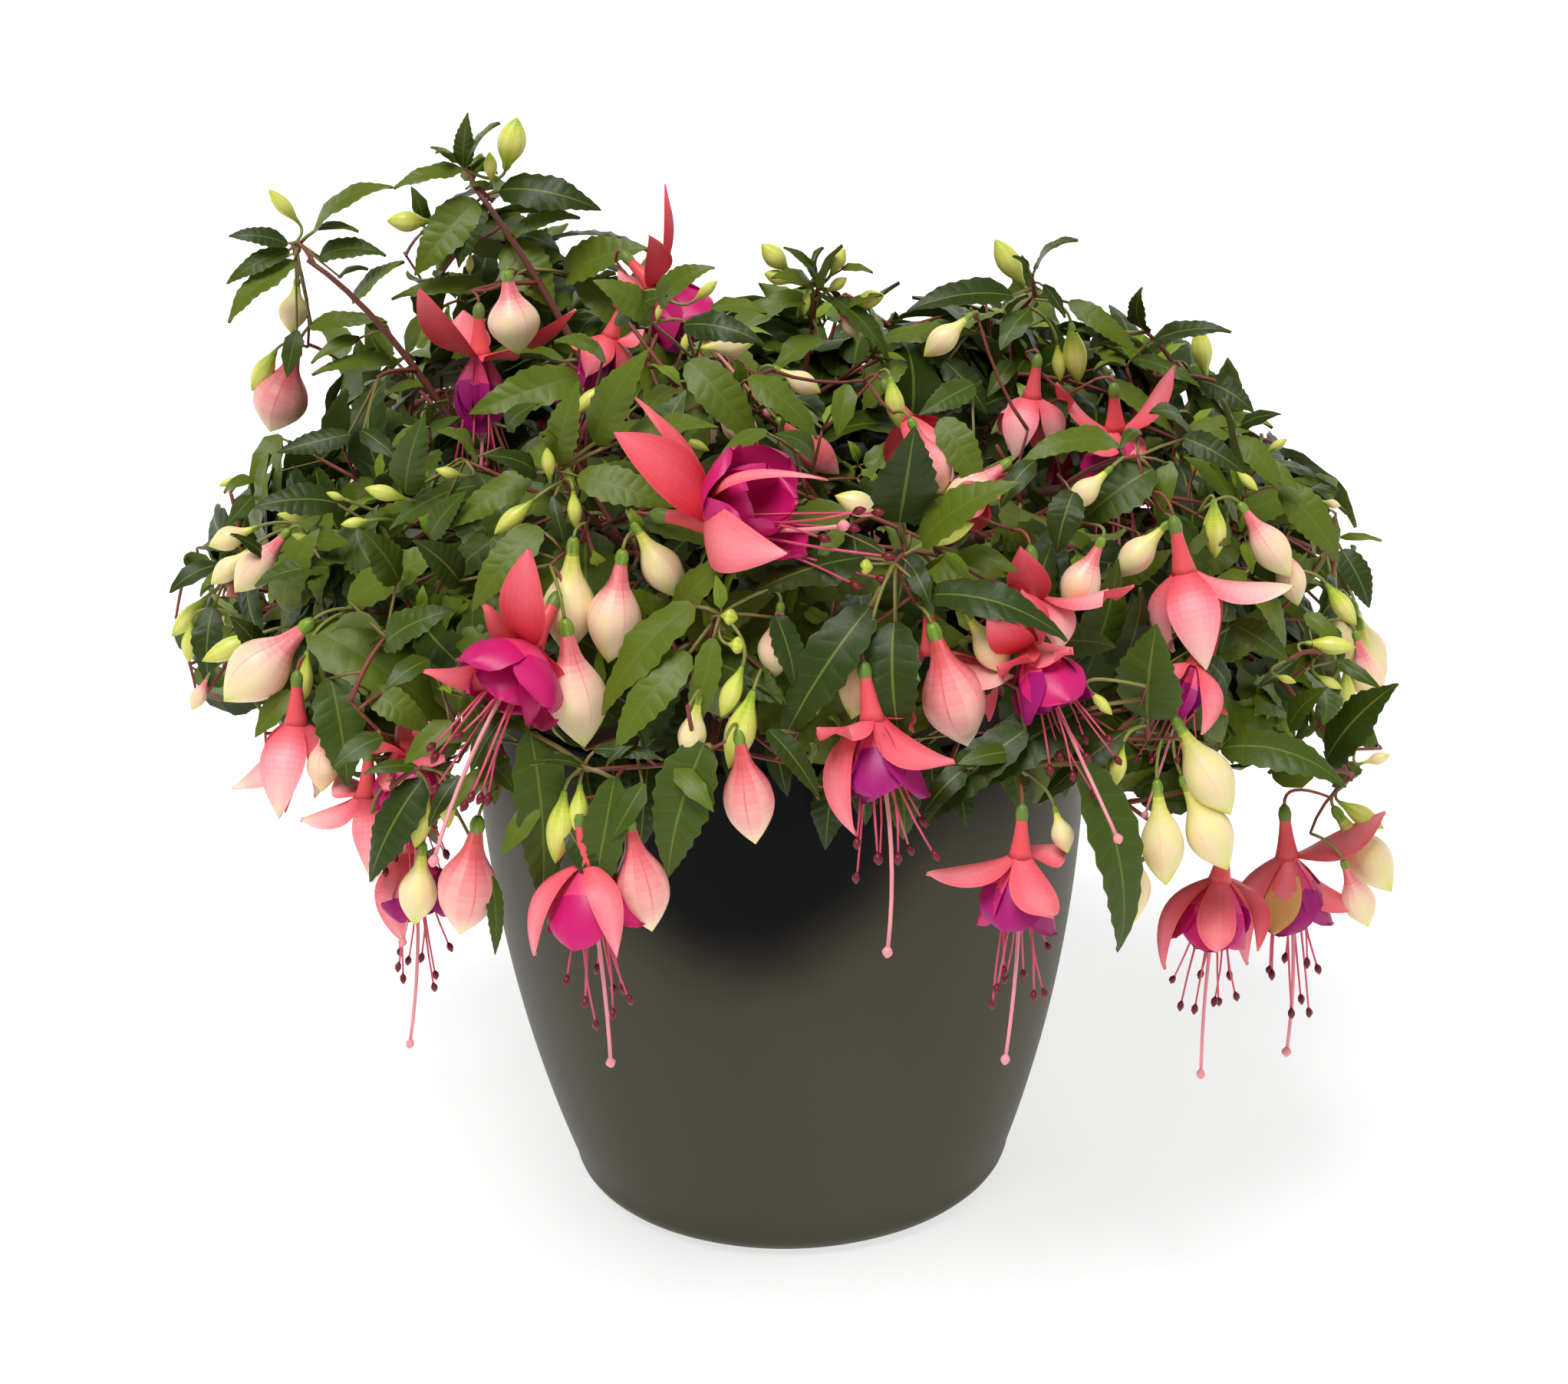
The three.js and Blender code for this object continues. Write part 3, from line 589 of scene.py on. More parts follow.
def growBoughs():
    limbs = {"trunk": trunkCurve()}
    own = [shoot for shoot in shoots if "bough" in shoot]
    own.sort(key=lambda shoot: "from" in shoot)
    for shoot in own:
        parent = limbs[shoot.get("from", "trunk")]
        start = parent.at(bough["forksAt"] if "from" in shoot else levels[shoot["level"]])
        end = place(shoot["bough"])
        isLow = shoot.get("level", bough["highLevel"]) < bough["highLevel"]
        outward, rise = bough["lowBend"] if isLow else bough["highBend"]
        limbs[shoot["name"]] = Arch(start, start + (end - start) * [outward, outward, rise], end)
    return limbs


# Bark: long shallow furrows that wander round the limb, with rings at the old nodes
def barkRelief(rings, sides, depth, furrows, nodes, phase):
    along = np.linspace(0, 1, rings)[:, None]
    turn = turnsOf(sides)[None]
    wander = np.sin(along * 17 + phase) * 0.5 + np.sin(along * 41 + phase * 2 + turn * 2) * 0.35
    ridges = np.abs(np.sin(turn * furrows / 2 + wander)) ** 0.7
    flakes = np.sin(along * 90 + turn * 3 + phase) * np.sin(along * 57 - turn * 5)
    node = np.exp(-(((along * nodes) % 1 - 0.5) / 0.07) ** 2)
    return 1 + depth * (ridges - 0.6 + flakes * 0.35 + node * 0.9)


def woodFinish():
    finish = Finish("bark", Base_Color=tint(74, 48, 34), Roughness=0.8)
    streaks = finish.noise(420, 5, 0.6)
    finish.set(Base_Color=finish.mix(streaks, tint(52, 32, 22), tint(100, 70, 50)))
    finish.bump(streaks, 0.6, 0.6)
    return finish.material


def addWood(bundle, limb, radii, sides, relief):
    bundle.add(tubes(*limb.guides, radii, sides, relief), tubeFaces(len(radii), sides), 0)


def makeWood(limbs, finish):
    bundle = Bundle()
    rings, sides = trunk["rings"], trunk["sides"]
    relief = barkRelief(rings, sides, *bark["trunk"], 0.4)
    addWood(bundle, limbs["trunk"], trunkRadius(np.linspace(0, 1, rings)), sides, relief)
    bundle.piece("trunk_bark", [finish], ["trunk"])
    bundle = Bundle()
    rings, sides = bough["rings"], bough["sides"]
    forks = [shoot["name"] for shoot in shoots if "from" in shoot]
    names = [name for name in limbs if name != "trunk"]
    for number, name in enumerate(names):
        radii = np.linspace(bough["fork" if name in forks else "base"], bough["tip"], rings)
        addWood(bundle, limbs[name], radii, sides, barkRelief(rings, sides, *bark["bough"], number))
    bundle.piece("bough_bark", [finish], [f"bough_{name}" for name in names])


# The CAD's shoots: where each bough ends and where its own tip is, as (angle, distance out, height). through
# is the pixel where the photograph shows the middle of the shoot.
tall = {"spread": 24, "room": 28, "twigs": 3, "sideTwigs": ()}
high = {"spread": 26, "room": 0, "twigs": 4, "sideTwigs": ()}
top = {"spread": 32, "room": 6, "twigs": 6, "sideTwigs": (0.5,)}
upper = {"spread": 34, "room": 10, "twigs": 7, "sideTwigs": (0.55,)}
lower = {"spread": 38, "room": 0, "twigs": 8, "sideTwigs": (0.45, 0.7)}
shoots = [
    {**tall, "name": "tall_left", "level": 4, "bough": (184, 58, 296), "tip": (167, 104, 370),
     "through": (712, 384)},
    {**high, "name": "high_left", "from": "tall_left", "bough": (188, 104, 284), "tip": (182, 156, 352),
     "through": (506, 436)},
    {**top, "name": "centre_peak", "level": 3, "bough": (120, 44, 264), "tip": (116, 74, 300)},
    {**top, "name": "centre_top", "tip": (40, 20, 320)},
    {**top, "name": "right_peak", "level": 3, "bough": (8, 68, 274), "tip": (16, 86, 316)},
    {**top, "name": "right_shoulder", "from": "right_peak", "bough": (4, 108, 258), "tip": (4, 134, 300)},
    {**top, "name": "front_top", "level": 3, "bough": (238, 40, 276), "tip": (242, 62, 318)},
    {**upper, "name": "left_upper", "from": "left_lower", "bough": (204, 98, 262), "tip": (203, 140, 284)},
    {**upper, "name": "fl_upper", "from": "fl_lower", "bough": (240, 84, 268), "tip": (240, 126, 298)},
    {**upper, "name": "front_upper", "from": "front_lower", "bough": (281, 80, 270), "tip": (281, 126, 300)},
    {**upper, "name": "fr_upper", "from": "fr_lower", "bough": (320, 88, 264), "tip": (322, 130, 290)},
    {**upper, "name": "right_upper", "from": "right_lower", "bough": (350, 112, 248), "tip": (344, 160, 264)},
    {**upper, "name": "br_upper", "from": "rb_lower", "bough": (42, 92, 256), "tip": (42, 142, 278)},
    {**upper, "name": "back_upper", "from": "back_lower", "bough": (84, 92, 248), "tip": (84, 140, 262)},
    {**upper, "name": "bl_upper", "from": "bl_lower", "bough": (136, 92, 256), "tip": (136, 142, 278)},
    {**lower, "name": "left_lower", "level": 0, "bough": (185, 122, 236), "tip": (186, 186, 230)},
    {**lower, "name": "fl_lower", "level": 1, "bough": (225, 120, 236), "tip": (225, 172, 206)},
    {**lower, "name": "front_lower", "level": 2, "bough": (262, 120, 237), "tip": (262, 174, 222)},
    {**lower, "name": "fr_lower", "level": 0, "bough": (301, 120, 236), "tip": (302, 174, 214)},
    {**lower, "name": "right_lower", "level": 1, "bough": (338, 122, 235), "tip": (340, 192, 204)},
    {**lower, "name": "rb_lower", "level": 2, "bough": (20, 122, 236), "tip": (20, 190, 216)},
    {**lower, "name": "br_lower", "level": 0, "bough": (60, 120, 236), "tip": (60, 174, 212)},
    {**lower, "name": "back_lower", "level": 1, "bough": (102, 120, 236), "tip": (102, 174, 216)},
    {**lower, "name": "bl_lower", "level": 2, "bough": (143, 122, 236), "tip": (143, 176, 220)},
]
crownCentre = np.array([0.0, 0.0, 190.0])
trunkTop = np.array([0.0, 0.0, 262.0])
massMiddle = 0.62  # of the way from a shoot's foot to its tip
feet = [place(shoot["bough"]) if "bough" in shoot else trunkTop for shoot in shoots]
centres = np.array([
    foot * (1 - massMiddle) + place(shoot["tip"]) * massMiddle for foot, shoot in zip(feet, shoots)
])

# How a shoot grows: the CAD's rule with more twigs, side twigs and smaller leaves in more pairs
growth = {
    "firstTwig": 0.12,
    "lastTwig": 0.95,
    "turn": 137.5,
    "stray": 40,
    "outward": 0.35,
    "forward": 0.25,
    "nod": 0.15,
    "length": (0.95, 1.3),
    "arching": 0.1,
    "twigNodes": (0.24, 0.46, 0.68, 0.9),
    "sideSpread": 55,
    "sideLength": 0.5,
    "sideNodes": (0.5, 0.88),
    "stemNodes": (0.2, 0.38, 0.54, 0.7, 0.86),
    "stemBend": 0.45,
    "leafSize": (1.05, 0.3),  # at the foot of a twig, and how much less at its end
    "sideLeaf": 0.85,
    "twigTip": 0.9,
    "sideTip": 0.75,
    "tipSizes": (0.55, 0.3),
    "stalkNodes": (0.2, 0.4, 0.6, 0.8, 0.97),
    "ownSpace": 8,
    "bareNodes": (0.55, 0.7, 0.85, 1.0),
    "bareWithin": 3.5,
    "seed": 7919,
}
lie = {"forward": (0.3, 0.9), "outward": (-0.05, 0.45), "nod": (0, 0.4), "size": (0.82, 1.12)}
uprightLie = {**lie, "forward": (0.1, 0.4), "nod": (0.1, 0.45)}
upright = 0.86  # how straight outward a twig has to point for its leaves to stand round it
face = {"outward": 0.8, "up": 0.45, "tilt": -0.1, "pairTurn": 90, "pairStray": 70}
# The pairs of young leaves at a tip, and the twigs and leaves that are placed by pixels
tipPair = {"turn": 90, "stray": 40, "forward": (0.35, 0.5), "side": 0.2, "up": 0.3, "root": 2, "spread": 0.15}
frontGrowth = {"bow": 0.18, "least": 6, "tip": 0.8, "nearer": (4, 8), "bend": (0.6, 0.8), "ownTone": 0.6}
leaf = {
    "length": 50,
    "width": 0.41,
    "stalk": 6,
    "veins": 7,
    "columns": (-1, -0.55, -0.06, 0.06, 0.55, 1),
    "fineVeins": 9,
    "fineColumns": (-1, -0.95, -0.5, -0.05, 0.05, 0.5, 0.95, 1),
    "youngVeins": 3,
    "youngBelow": 22,
    "fineBefore": -60,
    "underColumns": (-1, 0, 1),
    "veinLean": 0.075,
    "tooth": 0.06,
    "quilt": 0.5,
    "thickness": 1.3,
    "lift": (0.1, 0.5),
    "bend": (0.6, 1.6),
    "fold": (0.1, 0.34),
    "curl": (0.05, 0.3),
    "wave": (0.04, 0.15),
    "twist": (-0.5, 0.5),
    "sway": (-0.09, 0.09),
}
leafShades = {
    "leaf_deep": tint(44, 59, 9),
    "leaf_mid": tint(62, 79, 14),
    "leaf_light": tint(88, 103, 21),
    "leaf_fresh": tint(118, 142, 30),
    "leaf_rib": tint(96, 110, 38),
    "leaf_under": tint(104, 120, 56),
    "leaf_vein_deep": tint(51, 67, 16),
    "leaf_vein": tint(68, 86, 21),
    "leaf_vein_light": tint(90, 107, 28),
}
veinOf = {"deep": "vein_deep", "mid": "vein", "light": "vein_light", "fresh": "vein_light"}


def stemCurve(shoot, limbs):
    limb = limbs[shoot["name"] if "bough" in shoot else "trunk"]
    heading = limb.heading(1.0)
    start = limb.at(1.0) + heading * gap
    tip = place(shoot["tip"])
    bend = start + heading * np.linalg.norm(tip - start) * growth["stemBend"]
    if "through" in shoot:
        bend = 2 * seenAt(shoot["through"], (start + tip)[1] / 2) - (start + tip) / 2
    return Arch(start, bend, tip)


def massAt(point):
    return int(np.argmin(np.linalg.norm(centres - point, axis=1)))


def sprayTone(random):  # each spray has one of the three greens, a little less often the light one
    return ["deep", "mid", "light"][int(random() * 2.944)]


# Everything that grows is listed here first and made into meshes at the end
class Plant:
    def __init__(self):
        self.leaves = []
        self.limbs = []
        self.nodes = []
        self.stalks = []

    def addLimb(self, curve, kind):
        self.limbs.append((*curve.guides, kind))
        self.nodes += [curve.at(share) for share in growth["stalkNodes"]]

    def lay(self, node, root, along, front, length, mass, tone, **own):
        made = {"node": node, "root": root, "along": along, "front": front, "length": length}
        self.leaves.append({**made, "mass": mass, "tone": tone, **own})

    def addLeaf(self, node, heading, hand, pair, size, mass, tone, random):
        outward = unit(node - crownCentre)
        if heading.dot(outward) > upright:
            lay = uprightLie
            turn = math.radians(pair * face["pairTurn"] + face["pairStray"] * random())
            side = turnedAbout(sideOf(heading), heading, turn) * hand
            front = up
        else:
            lay = lie
            side = unit(np.cross(outward, heading)) * hand
            front = outward * face["outward"] + up * face["up"]
        along = heading * within(lay["forward"], random()) + side + outward * within(lay["outward"], random())
        along = unit(along - up * within(lay["nod"], random()))
        length = leaf["length"] * size * within(lay["size"], random())
        root = node + along * leaf["stalk"] * min(1, size)
        self.lay(node, root, along, front + side * face["tilt"], length, mass, tone)

    # The young leaves at a twig's tip: each pair smaller and closer to the twig's heading than the last
    def addTip(self, curve, mass, size, random, tones=("light", "fresh")):
        tip, heading = curve.at(1.0), curve.heading(1.0)
        for pair, share in enumerate(growth["tipSizes"]):
            turn = math.radians(tipPair["turn"] * pair + tipPair["stray"] * random())
            for hand in (-1, 1):
                side = turnedAbout(sideOf(heading), heading, turn) * hand
                along = unit(side + heading * (tipPair["forward"][0] + tipPair["forward"][1] * pair))
                front = unit(heading - side * tipPair["side"] + up * tipPair["up"])
                length = leaf["length"] * share * size * stray(random, tipPair["spread"])
                self.lay(tip, tip + along * tipPair["root"], along, front, length, mass, tones[pair])

    # A node that is more than least away is taken rather than a nearer one, and one above rather than below
    def nearestNode(self, point, least=0.0, drop=2.0):
        spots = np.array(self.nodes)
        apart = np.linalg.norm(spots - point, axis=1)
        cost = apart + drop * np.maximum(0, point[2] - spots[:, 2]) + 60 * (apart < least)
        return spots[np.argmin(cost)]

    def twigTo(self, tip, bow, kind, least=0.0):
        start = self.nearestNode(tip, least, 0)
        twig = Arch(start, (start + tip) / 2 + bow * np.linalg.norm(tip - start), tip)
        self.addLimb(twig, kind)
        return twig


# The shoots and leaves that the photograph shows in front
def growFront(plant, random):
    for x, y, *depth in frontTwigs:
        tip = spotSeen((x, y), *depth)
        twig = plant.twigTo(tip, up * frontGrowth["bow"], "twig", frontGrowth["least"])
        plant.addTip(twig, massAt(tip), frontGrowth["tip"], random)
    near, nearer = frontGrowth["nearer"]
    flat, bowed = frontGrowth["bend"]
    for group in frontLeaves.values():
        for x, y, tipX, tipY, width in group["leaves"]:
            start = spotSeen((x, y), group.get("depth"))
            end = seenAt((tipX, tipY), start[1] - near - nearer * random())
            chord = end - start
            sight = unit(eyePoint - start)
            front = sight * 0.8 + up * 0.6 if group.get("facing") == "eye" else up * 0.8 + sight * 0.7
            front = unit(front + sideOf(unit(chord)) * swing(random, 0.7))
            bend = flat + bowed * random()
            length = np.linalg.norm(chord) * (bend / 2) / math.sin(bend / 2)
            isOwnTone = random() < frontGrowth["ownTone"] and "tone" in group
            tone = group["tone"] if isOwnTone else sprayTone(random)
            node = plant.nearestNode(start, 0, 0.5)
            plant.lay(node, start, unit(chord), front, length, massAt(start), tone, bend=bend, width=width)


def growTwigs(plant, shoot, index, limbs):
    random = seeded(growth["seed"] * (index + 1))
    stem = stemCurve(shoot, limbs)
    plant.addLimb(stem, "stem")
    plant.addTip(stem, index, 1, random)
    spacing = (growth["lastTwig"] - growth["firstTwig"]) / (shoot["twigs"] - 1)
    for i in range(shoot["twigs"]):
        share = growth["firstTwig"] + spacing * i
        start = stem.at(share)
        outward = unit(start - crownCentre)
        turn = math.radians(i * growth["turn"] + growth["stray"] * random())
        direction = turnedAbout(sideOf(outward), outward, turn)
        direction = direction + outward * growth["outward"] + stem.heading(share) * growth["forward"]
        direction = unit(direction - up * growth["nod"])
        length = shoot["spread"] * within(growth["length"], random())
        growTwig(plant, start, direction, length, index, random, shoot["sideTwigs"])
    for pair, share in enumerate(growth["stemNodes"]):
        tone = sprayTone(random)
        for hand in (-1, 1):
            plant.addLeaf(stem.at(share), stem.heading(share), hand, pair + 1, 1, index, tone, random)


def growTwig(plant, start, direction, length, index, random, sideTwigs, isSide=False):
    outward = unit(start - crownCentre)
    arch = outward * growth["arching"] * length
    twig = Arch(start, start + direction * length * 0.5 + arch, start + direction * length + arch * random())
    if not hasRoom(twig.at(1.0)):
        return
    plant.addLimb(twig, "side" if isSide else "twig")
    tone = sprayTone(random)
    foot, less = growth["leafSize"]
    for pair, share in enumerate(growth["sideNodes" if isSide else "twigNodes"]):
        size = (foot - less * share) * (growth["sideLeaf"] if isSide else 1)
        for hand in (-1, 1):
            plant.addLeaf(twig.at(share), twig.heading(share), hand, pair, size, index, tone, random)
    plant.addTip(twig, index, growth["sideTip" if isSide else "twigTip"], random)
    for i, share in enumerate(sideTwigs):
        spread = math.radians(growth["sideSpread"] * (1 if i % 2 else -1))
        aside = unit(turnedAbout(twig.heading(share), outward, spread) + outward * 0.2)
        growTwig(plant, twig.at(share), aside, length * growth["sideLength"], index, random, (), True)


# Blossom and buds that show from the front are placed by the photograph's pixels: each bud from the top of
# its seed pod to its tip, and a plump one with a factor for its width. depth is how far back a group hangs,
# along Y, where that isn't on the crown's outer form.
frontBuds = {
    "tall left shoot": {"depth": 25, "buds": [
        ("olive", 659, 222, 674, 153, 1.3), ("lime", 641, 238, 638, 198, 1.2),
        ("lime", 560, 289, 504, 288, 1.35), ("lime", 613, 330, 612, 358),
    ]},
    "under the tall left shoot": {"depth": -30, "buds": [
        ("blush", 660, 352, 676, 462, 1.3),
    ]},
    "high left shoot": {"depth": 25, "buds": [
        ("lime", 390, 291, 350, 247), ("cream", 388, 362, 379, 434, 1.35), ("lime", 383, 331, 362, 334),
        ("olive", 360, 456, 328, 510, 1.2), ("pink", 388, 450, 352, 563, 1.25),
        ("lime", 356, 349, 330, 362),
    ]},
    "left": {"buds": [
        ("lime", 414, 669, 361, 671), ("cream", 338, 686, 272, 712), ("lime", 410, 706, 380, 696),
        ("lime", 530, 650, 475, 636), ("lime", 482, 678, 444, 684), ("lime", 604, 620, 567, 612),
        ("lime", 452, 652, 425, 642), ("cream", 330, 712, 275, 762), ("olive", 270, 777, 224, 830),
        ("blush", 378, 690, 306, 772), ("lime", 340, 826, 263, 862), ("blush", 408, 808, 292, 914, 1.05),
        ("lime", 401, 848, 389, 922), ("blush", 272, 880, 250, 926), ("lime", 310, 622, 285, 634),
    ]},
    "centre left": {"buds": [
        ("lime", 695, 652, 644, 697), ("lime", 717, 627, 713, 583), ("lime", 747, 638, 751, 690),
        ("lime", 788, 500, 748, 540), ("cream", 748, 700, 738, 852), ("blush", 812, 716, 793, 864, 1.05),
        ("cream", 824, 680, 888, 780), ("blush", 736, 806, 762, 974, 1), ("cream", 662, 700, 640, 745),
    ]},
    "peak": {"depth": -40, "buds": [
        ("lime", 905, 392, 935, 366), ("lime", 862, 392, 856, 418), ("lime", 896, 430, 890, 462),
        ("cream", 905, 455, 985, 445), ("cream", 1008, 478, 1070, 512), ("blush", 924, 510, 988, 584),
        ("lime", 889, 572, 925, 588), ("deep", 1012, 545, 1094, 618),
    ]},
    "centre top": {"depth": 0, "buds": [
        ("lime", 1028, 354, 993, 318, 1.4), ("lime", 1034, 368, 996, 356, 1.3),
        ("lime", 1053, 374, 1048, 412), ("lime", 1083, 358, 1101, 324, 1.3),
        ("lime", 1078, 380, 1104, 362, 1.3), ("lime", 1110, 396, 1153, 385, 1.4),
        ("blush", 1092, 402, 1120, 442),
    ]},
    "centre": {"buds": [
        ("cream", 1268, 408, 1204, 465), ("lime", 1160, 490, 1172, 558), ("cream", 1168, 674, 1088, 646),
        ("lime", 1200, 712, 1270, 682), ("pink", 1186, 545, 1232, 645), ("blush", 1318, 600, 1225, 668),
        ("cream", 1138, 806, 1110, 938), ("pink", 1214, 812, 1262, 973), ("cream", 1256, 796, 1315, 878),
        ("ball", 1118, 738, 1138, 740), ("ball", 940, 802, 962, 806), ("ball", 950, 840, 972, 842),
        ("blush", 1018, 784, 1008, 885), ("lime", 968, 868, 940, 935), ("cream", 912, 905, 896, 992),
        ("lime", 982, 900, 950, 1002), ("pink", 962, 950, 985, 1100),
    ]},
    "right top": {"depth": 0, "buds": [
        ("lime", 1334, 372, 1297, 312, 1.15), ("olive", 1396, 420, 1406, 500),
        ("lime", 1378, 448, 1382, 498), ("lime", 1572, 492, 1562, 424), ("lime", 1448, 440, 1474, 450),
        ("lime", 1554, 582, 1570, 636), ("lime", 1650, 590, 1678, 572), ("lime", 1532, 588, 1536, 602),
    ]},
    "right": {"buds": [
        ("cream", 1450, 608, 1390, 664), ("olive", 1582, 650, 1584, 728), ("blush", 1615, 655, 1682, 752),
        ("blush", 1668, 700, 1692, 790), ("cream", 1524, 680, 1455, 752), ("blush", 1438, 700, 1390, 800),
        ("cream", 1720, 652, 1748, 660), ("olive", 1728, 760, 1768, 815), ("lime", 1700, 838, 1768, 844),
        ("lime", 1716, 880, 1750, 898), ("lime", 1662, 880, 1690, 890), ("lime", 1610, 612, 1640, 640),
    ]},
    "lower right": {"buds": [
        ("cream", 1530, 935, 1604, 1062), ("cream", 1540, 1010, 1600, 1134),
        ("cream", 1508, 1016, 1520, 1154), ("cream", 1464, 1080, 1475, 1206),
        ("lime", 1464, 970, 1452, 1026), ("cream", 1374, 1050, 1392, 1112), ("cream", 1772, 996, 1812, 984),
        ("cream", 1738, 1052, 1814, 1162), ("lime", 1745, 1045, 1804, 1080),
        ("blush", 1750, 1120, 1784, 1208), ("lime", 1420, 900, 1450, 932),
    ]},
    "lower left": {"buds": [
        ("blush", 424, 942, 420, 1032), ("lime", 558, 1034, 541, 1106), ("lime", 582, 1022, 584, 1080),
        ("cream", 552, 1098, 540, 1206), ("pink", 624, 1064, 600, 1218), ("blush", 484, 1076, 492, 1142),
        ("lime", 736, 1030, 724, 1126), ("lime", 756, 1020, 754, 1094), ("pink", 818, 1062, 850, 1214),
    ]},
}

